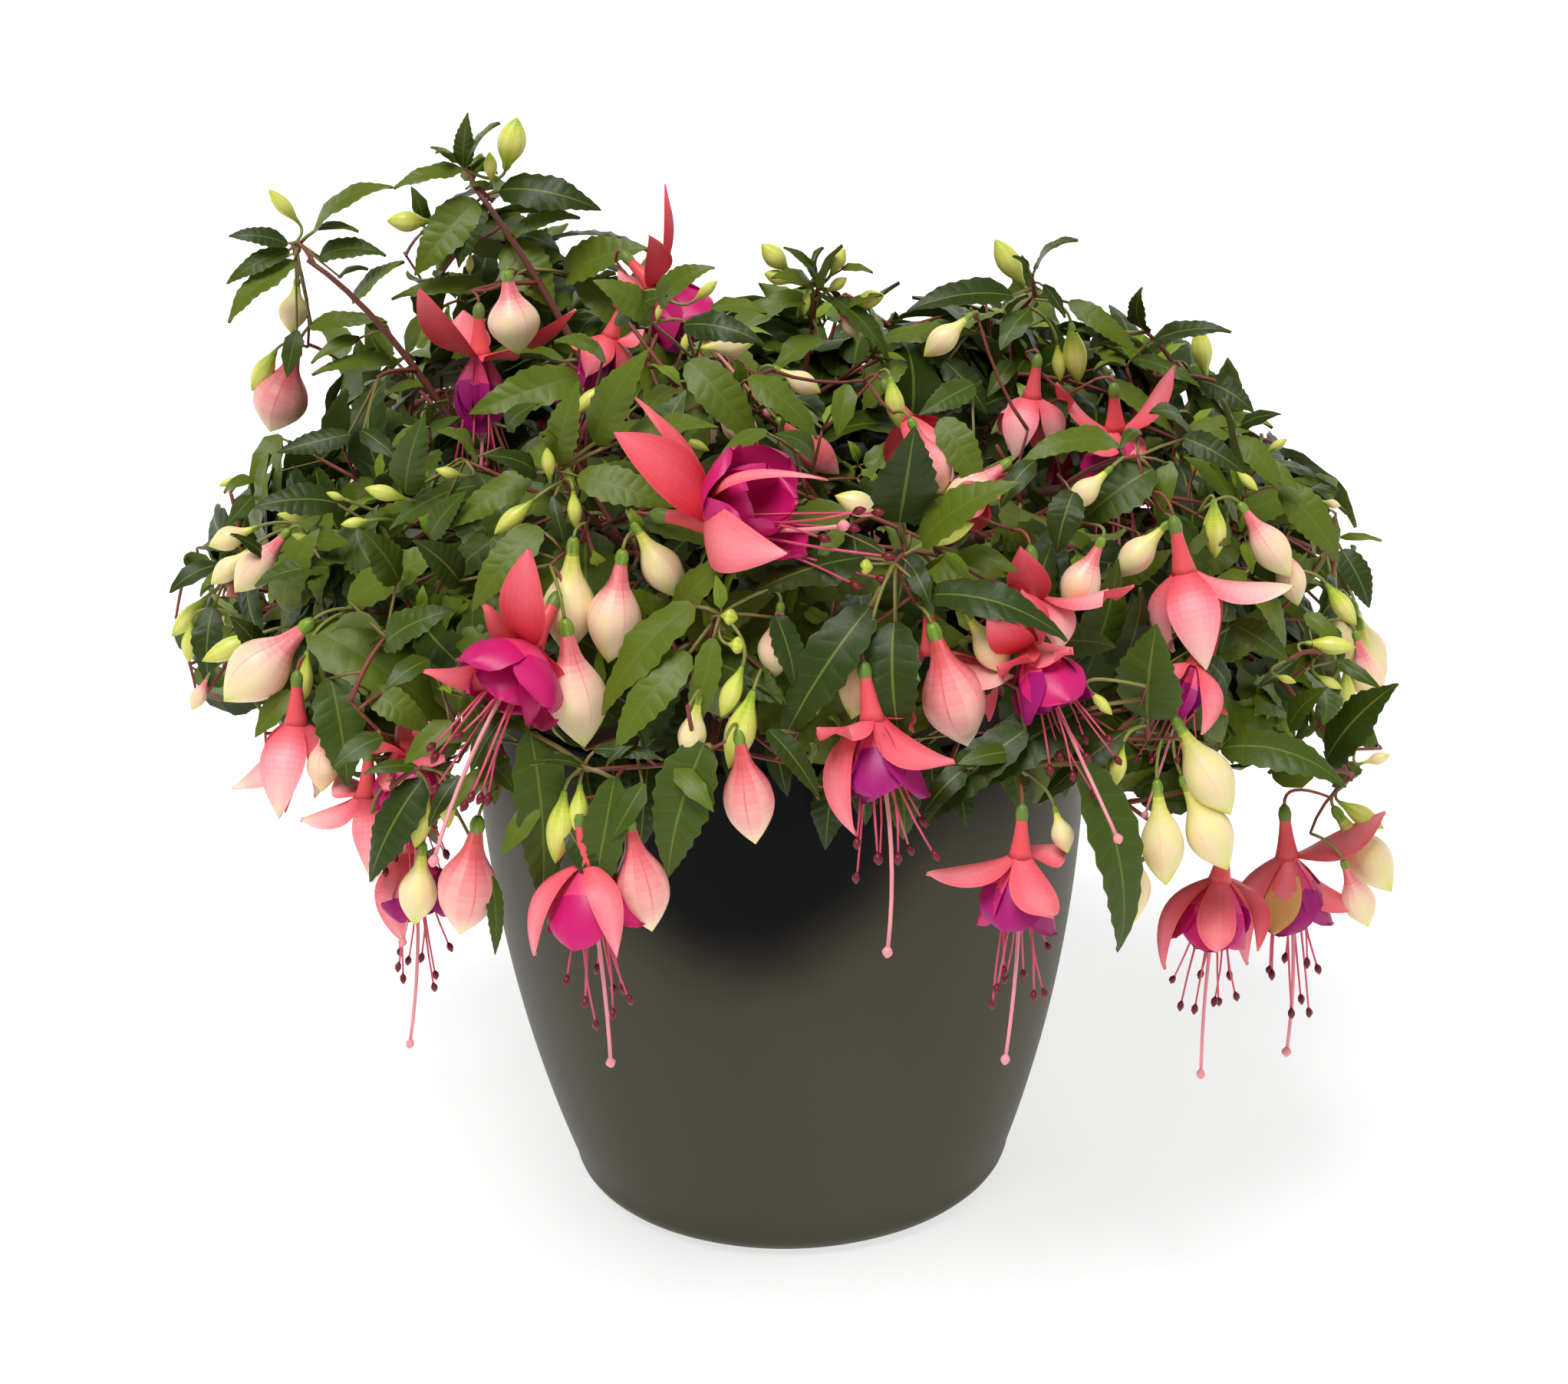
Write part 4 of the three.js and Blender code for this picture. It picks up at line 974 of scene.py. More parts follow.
# Leaves that stand out from the front, each from the pixel of its root to that of its tip, with its width as
# a share of its length. They face up, or the eye where the group says so.
frontLeaves = {
    "tall left shoot": {"depth": 25, "tone": "light", "leaves": [
        (603, 218, 614, 147, 0.34), (610, 214, 652, 156, 0.25), (598, 212, 562, 188, 0.3),
        (604, 220, 514, 250, 0.3), (650, 248, 783, 281, 0.34), (623, 260, 536, 358, 0.42),
        (628, 266, 597, 350, 0.4), (668, 312, 757, 290, 0.3), (660, 316, 727, 400, 0.55),
        (735, 362, 846, 318, 0.42), (638, 374, 507, 383, 0.22), (748, 356, 832, 446, 0.34),
        (590, 206, 566, 196, 0.3), (640, 240, 604, 244, 0.2),
    ]},
    "high left shoot": {"depth": 12, "tone": "light", "leaves": [
        (408, 302, 513, 249, 0.3), (412, 298, 470, 298, 0.24), (415, 338, 506, 326, 0.34),
        (376, 318, 297, 314, 0.32), (378, 326, 297, 376, 0.3), (386, 340, 295, 421, 0.34),
        (402, 426, 506, 424, 0.24), (470, 440, 402, 470, 0.26), (520, 470, 404, 487, 0.24),
        (388, 430, 376, 493, 0.4), (458, 394, 527, 340, 0.36), (480, 410, 512, 470, 0.36),
        (440, 362, 480, 352, 0.3), (530, 460, 560, 400, 0.34), (560, 500, 500, 520, 0.3),
    ]},
    "left": {"facing": "eye", "leaves": [
        (366, 566, 326, 628, 0.4), (458, 566, 362, 598, 0.34), (332, 624, 288, 640, 0.36),
        (330, 646, 297, 688, 0.4), (442, 656, 327, 654, 0.4), (530, 646, 546, 535, 0.36),
        (370, 796, 416, 686, 0.36), (452, 786, 600, 712, 0.3), (286, 736, 222, 776, 0.4),
        (278, 790, 267, 896, 0.36), (400, 815, 597, 962, 0.36), (500, 842, 596, 804, 0.4),
        (430, 880, 462, 1026, 0.42), (352, 730, 300, 700, 0.3), (300, 745, 262, 770, 0.4),
        (600, 760, 540, 700, 0.46), (520, 760, 470, 690, 0.46), (560, 700, 610, 640, 0.4),
        (430, 740, 330, 760, 0.4), (640, 700, 700, 760, 0.4), (620, 600, 570, 560, 0.44),
        (480, 900, 560, 960, 0.4), (500, 960, 430, 1000, 0.4), (610, 900, 640, 990, 0.4),
        (380, 900, 330, 960, 0.4), (660, 560, 700, 520, 0.4), (340, 860, 300, 800, 0.4),
        (560, 860, 500, 900, 0.42), (640, 1000, 590, 1060, 0.4), (470, 560, 520, 600, 0.4),
    ]},
    "centre left": {"facing": "eye", "tone": "light", "leaves": [
        (725, 606, 756, 495, 0.34), (752, 620, 878, 670, 0.36), (695, 616, 590, 696, 0.34),
        (700, 620, 630, 588, 0.32), (720, 646, 736, 716, 0.24), (706, 686, 617, 800, 0.34),
        (776, 580, 842, 450, 0.34), (812, 572, 940, 552, 0.3), (896, 470, 990, 580, 0.36),
        (756, 490, 612, 546, 0.34), (890, 424, 1000, 442, 0.34), (926, 400, 1000, 412, 0.34),
        (975, 490, 1066, 576, 0.34), (905, 786, 785, 936, 0.32), (850, 420, 770, 370, 0.4),
        (860, 400, 930, 340, 0.36), (800, 420, 870, 380, 0.4), (790, 470, 720, 440, 0.4),
        (900, 850, 800, 978, 0.32), (930, 830, 902, 963, 0.26), (735, 590, 700, 560, 0.3),
        (1000, 560, 940, 600, 0.36),
    ]},
    "lower left": {"facing": "eye", "leaves": [
        (920, 966, 860, 1140, 0.42), (1000, 950, 1066, 1046, 0.3), (802, 1010, 780, 1208, 0.26),
        (690, 950, 707, 1178, 0.28), (772, 976, 866, 990, 0.26), (616, 966, 676, 1043, 0.34),
        (552, 1014, 480, 1150, 0.36), (546, 1000, 472, 1008, 0.3), (760, 1000, 690, 1000, 0.3),
        (830, 960, 790, 1000, 0.3), (640, 1140, 648, 1246, 0.2), (600, 1010, 560, 1080, 0.3),
        (700, 1040, 660, 1120, 0.34), (740, 1080, 790, 1160, 0.34), (840, 1020, 800, 1100, 0.36),
        (660, 930, 620, 1010, 0.4), (880, 1000, 930, 1060, 0.36), (590, 940, 530, 1000, 0.4),
    ]},
    # Real leaves hanging over the rim in front, whose deep green also paints the dark shade under the crown's
    # front
    "over the rim": {"facing": "eye", "tone": "deep", "depth": -116, "leaves": [
        (700, 985, 680, 1075, 0.4), (760, 985, 770, 1080, 0.4), (845, 990, 830, 1110, 0.42),
        (1090, 995, 1085, 1110, 0.42), (1010, 960, 1020, 1040, 0.42), (1160, 985, 1180, 1095, 0.42),
        (1240, 990, 1260, 1080, 0.4), (1310, 970, 1330, 1060, 0.42), (890, 955, 880, 1040, 0.42),
        (960, 955, 950, 1030, 0.42), (1130, 970, 1120, 1075, 0.42), (1210, 965, 1215, 1060, 0.42),
        (800, 975, 800, 1080, 0.42), (1360, 950, 1390, 1040, 0.42), (650, 970, 640, 1050, 0.42),
    ]},
    "centre top": {"depth": 0, "leaves": [
        (1070, 375, 1093, 320, 0.36), (1066, 370, 1020, 326, 0.24), (1096, 350, 1140, 351, 0.26),
        (1056, 366, 1004, 360, 0.34), (1056, 390, 980, 402, 0.34), (1086, 388, 1158, 476, 0.3),
        (1150, 442, 1272, 440, 0.26), (1070, 440, 1012, 486, 0.5), (1060, 350, 1072, 322, 0.3),
        (1180, 470, 1130, 540, 0.4), (1100, 400, 1150, 386, 0.3),
    ]},
    "right top": {"depth": -8, "leaves": [
        (1348, 350, 1406, 312, 0.32), (1342, 356, 1320, 334, 0.26), (1322, 386, 1180, 406, 0.28),
        (1360, 370, 1388, 416, 0.34), (1392, 392, 1483, 461, 0.26), (1342, 404, 1300, 456, 0.5),
        (1495, 432, 1485, 372, 0.4), (1502, 446, 1607, 428, 0.26), (1473, 467, 1570, 500, 0.24),
        (1562, 496, 1636, 538, 0.44), (1446, 495, 1530, 571, 0.24), (1320, 470, 1290, 520, 0.4),
        (1230, 470, 1290, 540, 0.44), (1440, 440, 1400, 430, 0.3), (1420, 450, 1470, 430, 0.3),
    ]},
    "right": {"facing": "eye", "leaves": [
        (1616, 556, 1670, 534, 0.3), (1610, 570, 1672, 640, 0.36), (1670, 630, 1748, 730, 0.36),
        (1708, 636, 1742, 646, 0.4), (1746, 700, 1802, 706, 0.22), (1748, 716, 1786, 793, 0.42),
        (1460, 580, 1324, 600, 0.26), (1485, 560, 1455, 585, 0.34), (1540, 570, 1626, 612, 0.36),
        (1505, 610, 1404, 698, 0.5), (1526, 600, 1510, 676, 0.36), (1605, 812, 1682, 862, 0.44),
        (1640, 600, 1690, 640, 0.4), (1700, 800, 1750, 850, 0.34), (1690, 860, 1640, 900, 0.3),
        (1400, 640, 1370, 720, 0.5), (1350, 600, 1300, 660, 0.4), (1740, 860, 1800, 900, 0.26),
    ]},
    "centre": {"facing": "eye", "leaves": [
        (1130, 726, 980, 782, 0.4), (1172, 682, 1186, 554, 0.52), (1190, 740, 1213, 788, 0.5),
        (1200, 710, 1332, 630, 0.36), (1210, 776, 1396, 826, 0.28), (1135, 790, 1025, 976, 0.3),
        (1166, 810, 1178, 971, 0.42), (1225, 545, 1290, 640, 0.4), (1270, 500, 1200, 545, 0.4),
        (1060, 600, 1010, 560, 0.4), (1250, 720, 1330, 740, 0.4), (1100, 690, 1060, 730, 0.4),
        (1105, 500, 1090, 570, 0.44), (1010, 800, 1040, 900, 0.36), (1260, 1000, 1200, 1060, 0.4),
    ]},
    "lower right": {"facing": "eye", "leaves": [
        (1496, 938, 1516, 814, 0.62), (1406, 926, 1244, 1041, 0.36), (1470, 952, 1354, 1052, 0.26),
        (1590, 976, 1760, 1016, 0.34), (1728, 992, 1823, 888, 0.46), (1680, 950, 1730, 890, 0.4),
        (1410, 990, 1470, 1238, 0.24), (1440, 1000, 1420, 1100, 0.34), (1600, 900, 1560, 850, 0.4),
        (1320, 980, 1250, 1000, 0.4), (1340, 950, 1200, 1070, 0.3),
    ]},
}

# Shoots that carry them, each from the nearest stem to the pixel of its tip, with a depth where it needs one
frontTwigs = [
    (607, 221, 25), (642, 263, 25), (380, 318, 25), (725, 612), (1166, 735), (1495, 945), (1486, 595),
    (940, 800), (1067, 372, 0), (1346, 364, -8), (1492, 432, -8), (1584, 552, -20), (1742, 704),
    (1680, 860), (505, 828), (395, 700), (552, 1000), (760, 1000), (905, 470, -60), (1720, 1010, -90),
    (1330, 900), (300, 640), (290, 760), (868, 418, -14), (800, 480, -24),
]

# Open flowers that show from the front: the pixel of the throat, which way the flower faces, and for each
# sepal the pixel of its tip, how far in front of the throat it stands, in mm, and sometimes a factor for its
# width. flare opens the petals, cup is where they face if not as the flower does, and style is a factor for
# the length of its own.
frontFlowers = [
    {"throat": (625, 464), "depth": -12, "aim": (-0.03, -0.2, -1), "age": "closed", "size": 1.05,
     "petals": "purple",
     "sepals": ((546, 376, 14, 1.15), (750, 402, 2, 0.8), (604, 404, -14), (676, 452, 16, 0.8))},
    {"throat": (853, 374), "depth": -10, "aim": (0.55, -0.3, -0.55), "size": 0.95,
     "sepals": ((866, 240, 4, 0.35), (846, 306, 22, 0.85), (806, 352, -6, 0.7), (900, 356, 4, 0.7))},
    {"throat": (692, 842), "aim": (-0.42, -0.5, -0.62), "size": 1.15, "flare": 1.7, "petals": "magenta",
     "sepals": ((690, 714, 14), (553, 874, 6), (632, 788, -10), (740, 892, 4))},
    {"throat": (928, 680), "aim": (0.92, -0.36, -0.02), "size": 1.2, "flare": 1.5, "turn": 10,
     "petals": "magenta", "cup": (0.72, -0.4, 0.5), "style": 0.5,
     "sepals": ((800, 564, 8, 1.05), (1079, 625, 34, 0.24), (1026, 722, 36, 1.2), (827, 520, -16, 0.5))},
    {"throat": (1137, 940), "aim": (0.12, -0.3, -0.92), "size": 1.08,
     "sepals": ((1064, 950, 16), (1244, 992, 22), (1116, 1090, 14), (1190, 925, -14))},
    {"throat": (1345, 845), "aim": (0.35, -0.45, -0.75),
     "sepals": ((1286, 806, 12), (1394, 846, 14), (1330, 770, -8), (1300, 868, 16))},
    {"throat": (1330, 1118), "aim": (-0.05, -0.15, -1),
     "sepals": ((1208, 1138, 10), (1374, 1194, 36), (1388, 1100, -10), (1290, 1160, -14))},
    {"throat": (1590, 1148), "aim": (-0.12, -0.1, -1),
     "sepals": ((1518, 1264, 6, 0.7), (1586, 1240, 38, 0.9), (1640, 1240, -6, 0.8), (1600, 1240, -20))},
    {"throat": (1678, 1118), "aim": (0.06, -0.15, -1), "size": 1.1, "faded": (1,),
     "sepals": ((1775, 1182, 8), (1660, 1216, 38, 0.8), (1806, 1058, -6), (1626, 1258, 14, 0.8))},
    {"throat": (386, 945), "aim": (-0.08, -0.15, -1), "age": "bud", "size": 1.05,
     "sepals": ((302, 1026, 10), (364, 1068, 20), (372, 1060, -8), (410, 1040, 6))},
    {"throat": (530, 978), "aim": (0.05, -0.2, -1), "size": 0.9, "lift": -16,
     "sepals": ((480, 960, 8), (580, 990, 10), (500, 1030, 16), (560, 940, -12))},
    {"throat": (478, 1040), "aim": (-0.1, -0.2, -1), "age": "bud", "lift": -8,
     "sepals": ((392, 1068, 8), (486, 1150, 16), (540, 1050, 4), (440, 1010, -10))},
    {"throat": (540, 1112), "aim": (-0.02, -0.15, -1), "size": 0.95, "lift": -20, "petals": "purple",
     "sepals": ((488, 1160, 6), (527, 1228, 8), (596, 1168, 6), (540, 1180, -16))},
    {"throat": (765, 1128), "aim": (0.1, -0.15, -1), "size": 1.05, "flare": 1.3, "petals": "magenta",
     "sepals": ((697, 1246, 12, 0.65), (804, 1248, 20, 0.7), (760, 1190, -12), (830, 1150, -4))},
    {"throat": (1454, 560), "depth": -30, "aim": (0.05, 0.1, -1),
     "sepals": ((1378, 498, 6), (1530, 476, 6), (1420, 590, 16), (1490, 600, 10))},
    {"throat": (1345, 520), "depth": -30, "aim": (-0.15, -0.1, -1), "age": "bud", "size": 0.9,
     "sepals": ((1322, 600, 12), (1370, 590, 6), (1350, 600, -10), (1310, 570, 0))},
    {"throat": (1352, 782), "aim": (0.1, -0.3, -0.9), "age": "bud", "lift": -14,
     "sepals": ((1330, 712, 10), (1478, 762, 10), (1380, 850, 10), (1290, 756, 4))},
    {"throat": (1556, 868), "aim": (-0.3, -0.3, -0.8), "age": "closed", "size": 0.75,
     "sepals": ((1566, 958, 14), (1520, 900, 4), (1600, 930, 0), (1590, 880, -8))},
    {"throat": (1544, 748), "aim": (0.18, -0.2, -0.95), "age": "bud", "size": 1.1,
     "sepals": ((1572, 874, 20), (1686, 762, 10), (1530, 850, 6), (1580, 868, -10))},
    {"throat": (795, 440), "depth": -20, "aim": (-0.4, -0.1, -0.9), "age": "closed", "size": 0.85,
     "sepals": ((764, 492, 10), (840, 430, 0), (800, 520, 6), (740, 440, -6))},
    {"throat": (1180, 548), "depth": -60, "aim": (0.5, -0.2, -0.9), "age": "bud", "size": 0.9,
     "sepals": ((1245, 650, 14), (1230, 600, 0), (1200, 640, -6), (1240, 560, -10))},
    {"throat": (1214, 852), "aim": (0.05, -0.15, -1), "age": "bud", "lift": -10,
     "sepals": ((1190, 955, 2), (1322, 880, 4), (1170, 900, -6), (1290, 940, -10))},
    {"throat": (1280, 640), "aim": (-0.8, -0.3, -0.3), "age": "bud", "lift": -12, "size": 0.9,
     "sepals": ((1222, 672, 10), (1330, 606, -6), (1240, 640, -8), (1250, 690, 2))},
]
flowerDefaults = {
    "size": 1, "age": "open", "lift": 0, "flare": 1, "turn": 15, "broad": (1, 1, 1, 1), "petals": None,
    "faded": (), "cup": None, "style": 1, "tips": None, "sight": None,
}

# How the buds are made: how far along each ring stands and how wide it is, as shares of length and radius.
# The young profile is the slender one of buds that are still green.
# A bud's tone is a place on one path of colours, from coral at 0 to the seed pod's green at 9.
budShape = {
    "shares": (
        0, 0.03, 0.08, 0.125, 0.15, 0.21, 0.27, 0.33, 0.38, 0.43, 0.48, 0.53, 0.58, 0.64, 0.7, 0.76, 0.82,
        0.88, 0.93, 0.97, 1),
    "widths": (
        0.12, 0.21, 0.26, 0.22, 0.24, 0.29, 0.35, 0.46, 0.6, 0.74, 0.86, 0.94, 0.99, 0.99, 0.94, 0.84, 0.68,
        0.49, 0.31, 0.14, 0.02),
    "youngWidths": (
        0.14, 0.24, 0.3, 0.34, 0.38, 0.51, 0.65, 0.78, 0.87, 0.94, 0.98, 1, 0.99, 0.94, 0.87, 0.76, 0.62,
        0.45, 0.29, 0.14, 0.02),
    "sides": 16,
    "seam": 0.035,
    "ridge": 0.55,
    "lobes": 0.05,
    "panels": (-0.25, 0.2, -0.25),  # how far the tones between two seams are shifted
}
budPath = [
    tint(222, 86, 84), tint(236, 122, 128), tint(246, 162, 158), tint(249, 192, 176), tint(246, 212, 178),
    tint(240, 222, 166), tint(226, 222, 124), tint(202, 210, 78), tint(160, 180, 56), tint(104, 138, 46),
]
budSteps = 3
budKinds = {
    "pink": {"width": 0.225, "seam": -1.1, "path": (
        (0, 9), (0.13, 9), (0.132, 0.3), (0.3, 0.7), (0.45, 1.7), (0.65, 2.4), (0.82, 3.1), (0.93, 4.4),
        (1, 6.3))},
    "blush": {"width": 0.215, "seam": -1.5, "path": (
        (0, 9), (0.13, 9), (0.132, 1), (0.3, 1.5), (0.42, 3.3), (0.55, 4.2), (0.75, 4.7), (0.9, 5.6),
        (1, 7.2))},
    "cream": {"width": 0.205, "seam": -1.3, "path": (
        (0, 9), (0.13, 8.6), (0.16, 7), (0.28, 6.1), (0.4, 5.3), (0.6, 4.9), (0.8, 5.3), (0.92, 6.2),
        (1, 7.6))},
    "olive": {"width": 0.18, "young": True, "seam": 0.5, "path": (
        (0, 9), (0.15, 8.2), (0.35, 7.3), (0.5, 6.4), (0.7, 6.3), (0.85, 7), (1, 8.2))},
    "lime": {"width": 0.175, "young": True, "seam": 0.5, "path": (
        (0, 8.8), (0.15, 7.8), (0.3, 7), (0.5, 6.5), (0.7, 6.5), (0.9, 7.1), (1, 8))},
    "ball": {"width": 0.45, "young": True, "seam": 0.3, "path": ((0, 7.8), (0.5, 6.9), (1, 7.6))},
    "deep": {"width": 0.21, "seam": -0.3, "path": (
        (0, 9), (0.13, 9), (0.132, 0.2), (0.5, 0.4), (0.8, 1), (1, 3))},
}


def stepOn(path, steps, spot):  # the nearest of the colours that pathColours makes of a path
    return int(round(min(max(spot, 0), len(path) - 1) * steps))


def pathColours(path, steps):
    colours = []
    for step in range((len(path) - 1) * steps + 1):
        first = min(step // steps, len(path) - 2)
        share = step / steps - first
        colours.append([within(pair, share) for pair in zip(path[first], path[first + 1])])
    return colours


def framesOf(axes, turns):
    axes = unit(axes)
    guide = np.where(np.abs(axes[:, 2:]) > 0.9, [[1.0, 0, 0]], [[0, 0, 1.0]])
    x = unit(np.cross(axes, guide))
    y = np.cross(axes, x)
    cosine, sine = np.cos(turns)[:, None], np.sin(turns)[:, None]
    return x * cosine + y * sine, y * cosine - x * sine, axes


def budTones(look, middles):  # by ring and side, twice as gridFaces has two triangles each, then the caps
    sides = budShape["sides"]
    spots = np.interp(middles, *zip(*look["path"]))
    rows = []
    for spot, middle in zip(spots, middles):
        shifts = (look["seam"] if middle > 0.15 else 0, *budShape["panels"]) * (sides // 4)
        rows += [stepOn(budPath, budSteps, spot + shift) for shift in shifts]
    caps = [[stepOn(budPath, budSteps, spots[end])] * (sides - 2) for end in (0, -1)]
    return np.array(rows * 2 + caps[0] + caps[1])


def addBuds(bundle, buds, random):
    seam, ridge = budShape["seam"], budShape["ridge"]
    corners = [-seam, seam, ridge, math.pi / 2 - ridge]
    turns = np.array([corner + k * math.pi / 2 for k in range(4) for corner in corners])
    shares = np.array(budShape["shares"])
    lobes = 1 + budShape["lobes"] * (1 - np.cos(turns * 4)) / 2
    for kind, look in budKinds.items():
        group = [bud for bud in buds if bud["kind"] == kind]
        if not group:
            continue
        start = column(group, "from")[:, None, None]
        axis = column(group, "to") - start[:, 0, 0]
        length = np.linalg.norm(axis, axis=1)
        frames = framesOf(axis, np.array([6.28 * random() for bud in group]))
        x, y, z = (vectors[:, None, None] for vectors in frames)
        swell = np.array([stray(random, 0.07) for bud in group]) * column(group, "plump", 1)
        radius = (length * look["width"] * swell)[:, None, None, None]
        widths = np.array(budShape["youngWidths" if "young" in look else "widths"])[:, None] * lobes
        ring = x * np.cos(turns)[:, None] + y * np.sin(turns)[:, None]
        far = (length[:, None] * shares)[:, :, None, None]
        points = (start + z * far + ring * radius * widths[None, :, :, None]).reshape(len(group), -1, 3)
        tones = budTones(look, (shares[1:] + shares[:-1]) / 2)
        bundle.add(points, tubeFaces(len(shares), budShape["sides"]), tones[None])


# A petal or sepal: a blade that follows a line of points, with an outer and an inner sheet that meet at the
# edge. width is half its breadth at each point, side its breadth's direction there, and dish how far its
# edges turn in.
def blade(path, side, width, dish, thickness, columns, wave, phase):
    heading = unit(np.gradient(path, axis=0))
    side = unit(side - heading * dot(side, heading))
    inward = np.cross(heading, side)
    across = np.linspace(-1, 1, columns)[None, :, None]
    share = np.linspace(0, 1, len(path))[:, None, None]
    ripple = wave * share * np.sin(share * 7 + across * 4 + phase) * across**2
    sheets = []
    aside = across * width[:, None, None]
    for offset in (0.0, thickness):
        height = dish * width[:, None, None] * across**2 + ripple + offset * (1 - across**2)
        sheets.append(path[:, None] + side[:, None] * aside + inward[:, None] * height)
    return np.concatenate([sheet.reshape(-1, 3) for sheet in sheets])


def arcPath(length, angles, rows):  # from the axis outward, at an angle to it that changes along the way
    share = np.sin(np.linspace(0, 1, rows) * math.pi / 2)
    angle = np.interp(share, np.linspace(0, 1, len(angles)), np.radians(angles))
    step = np.diff(share, prepend=0) * length
    out, along = np.cumsum(np.sin(angle) * step), np.cumsum(np.cos(angle) * step)
    return share, np.stack([out, 0 * out, along], 1)


@functools.lru_cache(maxsize=None)
def bladeFaces(rows, columns):
    faces = gridFaces(rows, columns)
    return np.concatenate([faces, faces[:, ::-1] + rows * columns])


def sepalOutline(share):
    swell = 0.42 + 0.58 * np.sin(np.clip(share / 0.42, 0, 1) * math.pi / 2)
    return swell * (1 - np.clip((share - 0.42) / 0.58, 0, 1) ** 1.9) + 0.02


def petalOutline(share):
    swell = 0.2 + 0.8 * np.sin(np.clip(share / 0.6, 0, 1) * math.pi / 2)
    return swell * np.sqrt(np.clip(1 - share**5, 0.002, 1))


flower = {
    "pod": 5.5,
    "tube": 12,
    "tubeWidths": (0.5, 1.7, 2.1, 1.9, 1.8, 2.2, 2.7, 3.3, 4.0),
    "tubeShares": (0, 0.08, 0.18, 0.3, 0.34, 0.52, 0.7, 0.86, 1),
    "tubeSides": 12,
    "sepalLength": 33,
    "sepalWidth": 6.9,
    "sepalBow": (0.24, 0.08),
    "sepalRows": 20,
    "sepalDish": 0.18,
    "petalLength": 25,
    "petalWidth": 11,
    "petalRows": 9,
    "petalColumns": 7,
    "petalDish": 0.42,
    "openPetal": (1, 1.7),  # a factor for its width and how far its edge waves
    "closedPetal": (0.8, 0.6),
    "spreads": {"outer": (34, 38, 22, 6), "inner": (20, 24, 8, -6), "closed": (8, 12, 2, -14)},
    "filament": 44,
    "style": 66,
}
flowerShades = {
    "flower_pod": tint(104, 128, 52),
    "flower_tube": tint(226, 84, 90),
    "petal_throat": tint(222, 62, 112),
    "petal_magenta": tint(198, 18, 104),
    "petal_purple": tint(160, 14, 108),
    "petal_violet": tint(122, 28, 150),
    "filament_pink": tint(222, 84, 112),
    "anther_red": tint(110, 16, 34),
    "style_pink": tint(238, 150, 158),
    "sepal_faded": tint(216, 158, 92),
}
sepalPath = [
    tint(200, 42, 54), tint(227, 74, 87), tint(239, 105, 118), tint(248, 145, 154), tint(250, 185, 180),
    tint(248, 214, 188), tint(214, 206, 140),
]  # a sepal's tone is a place on this path
sepalSteps = 7
sepalSides = {
    "outside": ((0, 1.3), (0.25, 1.7), (0.55, 2.3), (0.8, 2.4), (1, 3)),
    "inside": ((0, 0.1), (0.3, 0.6), (0.7, 1.2), (1, 1.8)),
    "young": ((0, 1.3), (0.2, 2), (0.5, 3.2), (0.85, 4.2), (1, 5.6)),
}
sepalStreaks = (-0.4, -0.15, 0.05, 0.25, 0.2, 0.05, -0.15, -0.4)  # from edge to edge
throatHeight = flower["pod"] + flower["tube"]


def toneOf(name):
    return list(flowerShades).index(name)


def sepalTips(look, random):  # by rule, for a flower that isn't placed by its sepals' tips
    tips = []
    for k, opening in enumerate(look["openings"]):
        out = levelWay(math.radians(k * 90 + swing(random, 12)))
        angle = math.radians(opening)
        way = out * math.sin(angle) + up * math.cos(angle)
        tips.append(up * throatHeight + way * flower["sepalLength"] * stray(random, 0.1))
    return tips


def sepalTones(look, number, middles, shift):  # by row and streak, for the outer and then the inner sheet
    sheets = []
    for name in ("young" if look["age"] == "bud" else "outside", "inside"):
        tones = []
        for middle, spot in zip(middles, np.interp(middles, *zip(*sepalSides[name]))):
            for streak in sepalStreaks:
                isFaded = number in look["faded"] and middle > 0.35 + streak * 0.4
                step = len(flowerShades) + stepOn(sepalPath, sepalSteps, spot + streak + shift)
                tones.append(toneOf("sepal_faded") if isFaded else step)
        sheets += tones * 2
    return np.array(sheets)


def addSepal(parts, tip, number, look, random):
    out = tip * [1, 1, 0]
    out = unit(out) if np.linalg.norm(out) > 4 else levelWay(math.radians(90 * number))
    start = up * throatHeight + out * 3 - up * 0.8
    chord = tip - start
    heading = unit(chord)
    bow = up + out * 0.8
    bow = unit(bow - heading * bow.dot(heading))
    openness = 1 - max(0.0, heading[2])  # a sepal that is thrown back is straighter than one that hangs
    bow = bow * np.linalg.norm(chord) * within(flower["sepalBow"], openness)
    t = np.sin(np.linspace(0, 1, flower["sepalRows"]) * math.pi / 2)[:, None]
    path = onArch(start, start + chord * 0.45 + bow * 2, tip, t)
    side = np.cross(up, out)[None] + 0 * path
    if look["sight"] is not None:  # it turns its breadth toward the eye, the more the nearer to its tip
        facing = np.cross(unit(np.gradient(path, axis=0)), look["sight"])
        side = side + facing * np.sign(dot(facing, side)) * 0.7 * t
    width = flower["sepalWidth"] * sepalOutline(t[:, 0]) * stray(random, 0.08) * look["broad"][number]
    columns = len(sepalStreaks) + 1
    points = blade(path, side, width, flower["sepalDish"], 1.0, columns, 0.5, 6 * random())
    tones = sepalTones(look, number, (t[1:, 0] + t[:-1, 0]) / 2, swing(random, 0.6))
    parts.append((points, bladeFaces(len(path), columns), tones))


